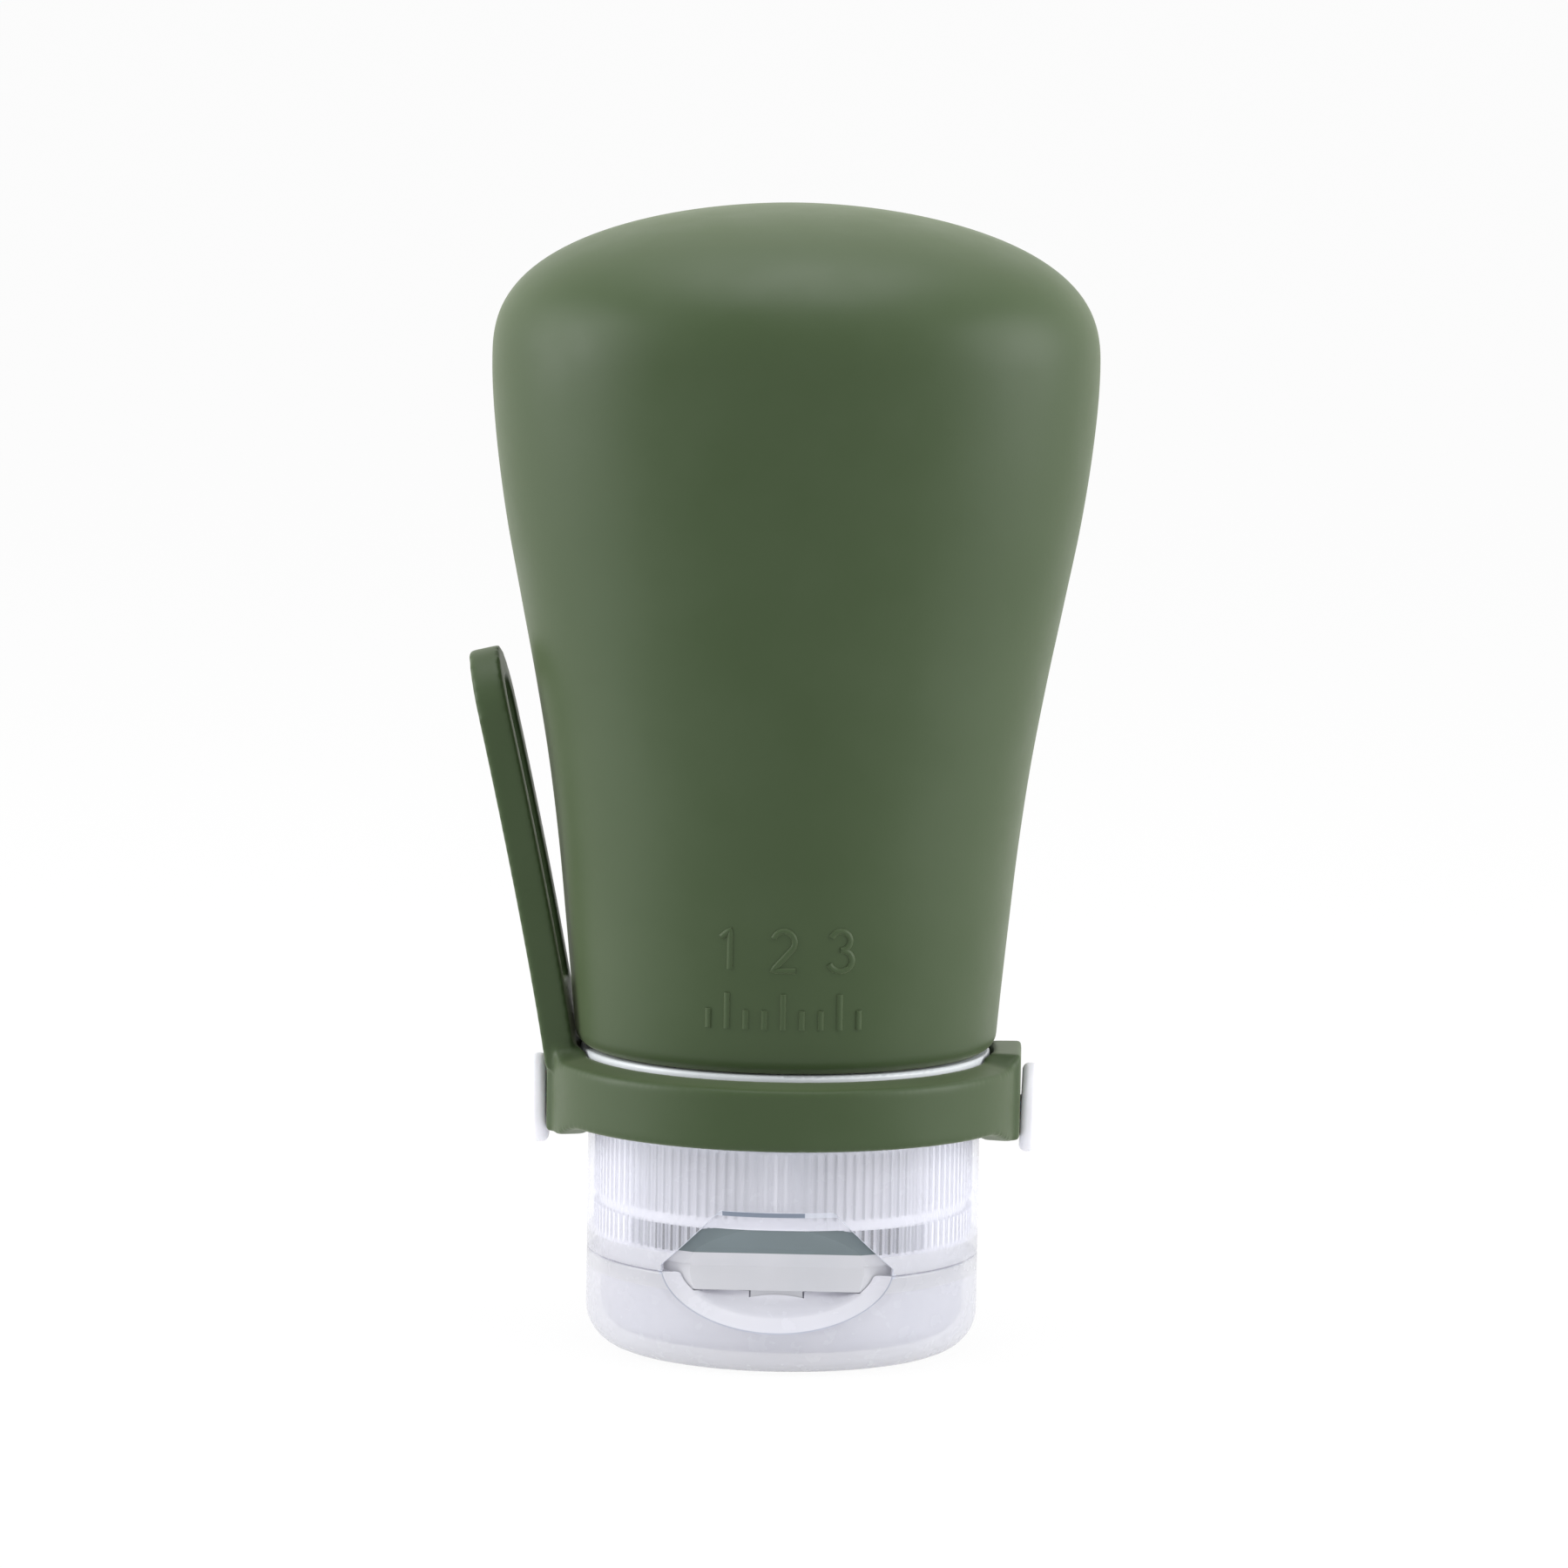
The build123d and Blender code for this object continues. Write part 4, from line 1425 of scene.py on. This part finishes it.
@dataclass
class FlipLid:
    """Flip lid: rounded cup, scoop bowl, plug and sealing wall."""

    scoop: ThumbScoop
    hinge: BarrelHinge
    radius: float = CAP_RADIUS
    height: float = 8.2
    wall: float = 1.2
    floor: float = 1.5
    corner: float = 3.6
    rim_round: float = 0.2
    bowl_wall: float = 1.0
    bowl_bottom: float = 0.75
    bowl_top: float = 6.75
    bowl_inset: float = 0.35
    bowl_reach: float = 3.3
    bowl_edge: float = 0.13
    bowl_tilt: float = 0.02
    plug_outer: float = 3.8
    plug_inner: float = 2.6
    seal_inner: float = 5.55
    seal_wall: float = 1.0
    seal_top: float = 7.7
    seal_foot_round: float = 0.3
    seal_round: float = 0.2
    plug_round: float = 0.3
    rim_zone: float = 6.83
    rim_near: float = 0.05
    catch_half: float = 2.3
    catch_z: tuple[float, float] = (5.9, 9.0)
    catch_y: tuple[float, float] = (-13.45, -12.45)

    def build(self) -> Piece:
        """Make the lid as one piece."""
        inner = self.radius - self.wall
        corners = [
            (0, 0, 0),
            (self.radius, 0, self.corner),
            (self.radius, self.rim_zone, 0),
            (self.radius, self.height, self.rim_round),
            (inner, self.height, self.rim_round),
            (inner, self.floor, self.corner - self.wall),
            (self.seal_inner + self.seal_wall, self.floor, self.seal_foot_round),
            (self.seal_inner + self.seal_wall, self.seal_top, self.seal_round),
            (self.seal_inner, self.seal_top, self.seal_round),
            (self.seal_inner, self.floor, self.seal_round),
            (self.plug_outer, self.floor, self.seal_round),
            (self.plug_outer, self.seal_top, self.plug_round),
            (self.plug_inner, self.seal_top, self.seal_round),
            (self.plug_inner, self.floor, self.seal_round),
            (0, self.floor, 0),
        ]
        lid = lathe("lid_shell", rounded(corners, steps=10))
        bowl = self.scoop.cutter("bowl", self.scoop.bowl, self.bowl_wall)
        reach, low, high = self.radius - self.bowl_inset, self.bowl_bottom, self.bowl_top
        keep = lathe("keep", [(0, low), (reach, low), (reach, high), (0, high)])
        combine(bowl, [keep], "INTERSECT")
        combine(lid, [bowl], "UNION")
        combine(lid, [self.scoop.cutter("lid_scoop", self.scoop.bowl), self.catch_slot()], "DIFFERENCE")
        self.hinge.join(lid, [(-self.hinge.lid_half, self.hinge.lid_half)], -1)
        self.hinge.clear(lid, self.hinge.cap_spans())
        return lid

    def catch_slot(self) -> Piece:
        """Room for the small catch under the core's rim."""
        half = self.catch_half
        front, back = self.catch_y
        corners = [(-half, front), (half, front), (half, back), (-half, back)]
        rings = [[(x, y, z) for x, y in corners] for z in self.catch_z]
        return mesh_of("catch_slot", *stack_rings(rings, False))

    def zone(self, middle: Vector, facing: Vector) -> LidZone:
        """Tell the zone of a face of the lid.

        Args:
            middle: The face's middle, in metres.
            facing: Its normal.

        Returns:
            The zone that it belongs to.
        """
        inset = self.radius * MM - math.hypot(middle.x, middle.y)
        in_scoop = middle.y < 0 and self.scoop.holds(middle / MM)
        faces_out = middle.x * facing.x + middle.y * facing.y > 0 and abs(facing.z) > self.bowl_tilt
        # Painted light on the bowl's inside, painted shade along the bowl's edge
        if in_scoop and 0 < inset < self.bowl_reach * MM and faces_out:
            return LidZone.BOWL if inset > self.bowl_edge * MM else LidZone.BOWL_EDGE
        # Painted shade on the outer wall over the core's rim
        if middle.z > self.rim_zone * MM and abs(inset) < self.rim_near * MM:
            return LidZone.RIM
        return LidZone.WALL

    def dress(self, piece: Piece, palette: Palette) -> None:
        """Finish the lid, with painted light on its bowl and painted shade along the bowl's edge and on its
        rim.
        """
        materials = {
            LidZone.WALL: palette.lid,
            LidZone.BOWL: palette.bowl,
            LidZone.BOWL_EDGE: palette.bowl_edge,
            LidZone.RIM: palette.rim_zone,
        }
        dress(piece, *(materials[zone] for zone in LidZone))
        for face in piece.data.polygons:
            face.material_index = self.zone(face.center, face.normal)
        shade(piece, sharp_deg=32)
        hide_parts("flip_lid")
        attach(piece, Body.LID.value)


@dataclass
class CarriedNodes:
    """The turned and moulded pieces that are shown as they were made."""

    nodes: dict[str, Piece]

    def dress(self, palette: Palette) -> None:
        """Give every carried piece its finish."""
        finishes = {
            "threaded_neck": palette.collar,
            "clamp_collar": palette.collar,
            "neck_gasket": palette.clear,
            "cap_core": palette.core,
            "core_band": palette.band,
            "slit_valve": palette.clear,
            "valve_retainer": palette.core,
            "lid_hinge_pin": palette.steel,
        }
        for name, material in finishes.items():
            dress(self.nodes[name], material)
            LOG.info("dressed %s", name)


@dataclass(frozen=True)
class Softbox:
    """A square lamp: its place and side in millimetres, and its power in watts."""

    name: str
    place: Point
    size: float
    power: float


@dataclass
class Studio:
    """Plain pale floor, soft light and the camera."""

    distance: float = 732.0
    focal: float = 200.0
    target: Point = (-0.46, 0.0, 47.6)
    azimuth_deg: float = 1.7
    elevation_deg: float = 7.0
    roll_deg: float = 0.92
    clip_start: float = 0.05
    clip_end: float = 10.0
    floor_size: float = 8000.0
    floor_z: float = -0.02
    floor_grey: float = 0.93
    floor_roughness: float = 0.9
    floor_seen: float = 0.94
    world_light: float = 0.55
    lamps_aim: Point = (0, 0, 50)
    softboxes: tuple[Softbox, ...] = (
        Softbox("left_softbox", (-420, -60, 170), 320, 1.6),
        Softbox("right_softbox", (420, -60, 170), 320, 1.6),
        Softbox("top_softbox", (0, -40, 480), 340, 1.4),
    )

    def camera(self) -> None:
        """Place the camera at the photograph's view."""
        data = bpy.data.cameras.new("camera")
        data.lens = self.focal
        data.clip_start, data.clip_end = self.clip_start, self.clip_end
        eye = bpy.data.objects.new("camera", data)
        azimuth, elevation = math.radians(self.azimuth_deg), math.radians(self.elevation_deg)
        level = math.cos(elevation)
        away = Vector((math.sin(azimuth) * level, -math.cos(azimuth) * level, math.sin(elevation)))
        target = Vector(self.target) * MM
        eye.location = target + away * self.distance * MM
        turn = away.to_track_quat("Z", "Y").to_matrix().to_4x4()
        roll = Matrix.Rotation(math.radians(self.roll_deg), 4, "Z")
        eye.matrix_world = Matrix.Translation(eye.location) @ turn @ roll
        bpy.context.scene.collection.objects.link(eye)
        bpy.context.scene.camera = eye

    def floor(self) -> None:
        """Lay the floor, white to the eye and in reflections, with the soft shadow kept."""
        half = self.floor_size / 2
        corners = [(-half, -half), (half, -half), (half, half), (-half, half)]
        plane = mesh_of("studio_floor", [(x, y, self.floor_z) for x, y in corners], [(0, 1, 2, 3)])
        material = bpy.data.materials.new("studio_floor")
        material.use_nodes = True
        tree = material.node_tree
        shader = tree.nodes["Principled BSDF"]
        shader.inputs["Base Color"].default_value = (self.floor_grey, self.floor_grey, self.floor_grey, 1)
        shader.inputs["Roughness"].default_value = self.floor_roughness
        shader.inputs["Specular IOR Level"].default_value = 0.0
        glow = add_node(tree, "Emission", {"Strength": 1.0})
        share = self.seen(tree, self.floor_seen)
        inputs = {"Fac": share, 1: shader.outputs["BSDF"], 2: glow.outputs["Emission"]}
        mix = add_node(tree, "MixShader", inputs)
        tree.links.new(mix.outputs["Shader"], tree.nodes["Material Output"].inputs["Surface"])
        dress(plane, material)

    @staticmethod
    def seen(tree: bpy.types.NodeTree, strength: float) -> Socket:
        """A value that is set where the eye, gloss or glass looks.

        Args:
            tree: Node tree to add to.
            strength: The value for such rays.

        Returns:
            The value, 0 for all other rays.
        """
        path = add_node(tree, "LightPath", {})
        total = path.outputs["Is Camera Ray"]
        for name in ("Is Glossy Ray", "Is Transmission Ray"):
            total = add_node(tree, "Math", {0: total, 1: path.outputs[name]}, operation="MAXIMUM").outputs[0]
        return add_node(tree, "Math", {0: total, 1: strength}, operation="MULTIPLY").outputs[0]

    def world(self) -> None:
        """Light the room evenly, white where it is seen."""
        world = bpy.data.worlds.new("studio")
        bpy.context.scene.world = world
        world.use_nodes = True
        tree = world.node_tree
        background = tree.nodes["Background"]
        background.inputs["Color"].default_value = (1, 1, 1, 1)
        inputs = {"To Min": self.world_light, "To Max": 1.0, "Value": self.seen(tree, 1.0)}
        strength = add_node(tree, "MapRange", inputs)
        tree.links.new(strength.outputs["Result"], background.inputs["Strength"])

    def hang(self, box: Softbox) -> None:
        """Hang a softbox so that it faces the bottle."""
        data = bpy.data.lights.new(box.name, "AREA")
        data.size = box.size * MM
        data.energy = box.power
        lamp = bpy.data.objects.new(box.name, data)
        away = Vector(box.place) - Vector(self.lamps_aim)
        turn = away.to_track_quat("Z", "Y").to_matrix().to_4x4()
        lamp.matrix_world = Matrix.Translation(Vector(box.place) * MM) @ turn
        bpy.context.scene.collection.objects.link(lamp)

    def build(self) -> None:
        """Set up camera, floor, world and lamps."""
        self.camera()
        self.floor()
        self.world()
        for box in self.softboxes:
            self.hang(box)
        bpy.context.scene.view_settings.view_transform = "Standard"


def main() -> None:
    """Build the bottle, piece by piece, and its studio."""
    logging.basicConfig(level=logging.INFO, format="%(message)s")
    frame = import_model()
    palette = Palette()
    Studio().build()
    skin = BottleSkin()
    scoop, hinge = ThumbScoop(), BarrelHinge()
    assemblies = [
        skin,
        RaisedScale(skin),
        Strap(),
        Stud(Side.LEFT),
        Stud(Side.RIGHT),
        CapSleeve(scoop, hinge),
        FlipLid(scoop, hinge),
    ]
    for assembly in assemblies:
        piece = assembly.build()
        assembly.dress(piece, palette)
        LOG.info("built %s with %d faces", piece.name, len(piece.data.polygons))
    CarriedNodes(frame["nodes"]).dress(palette)


if __name__ == "__main__":
    main()
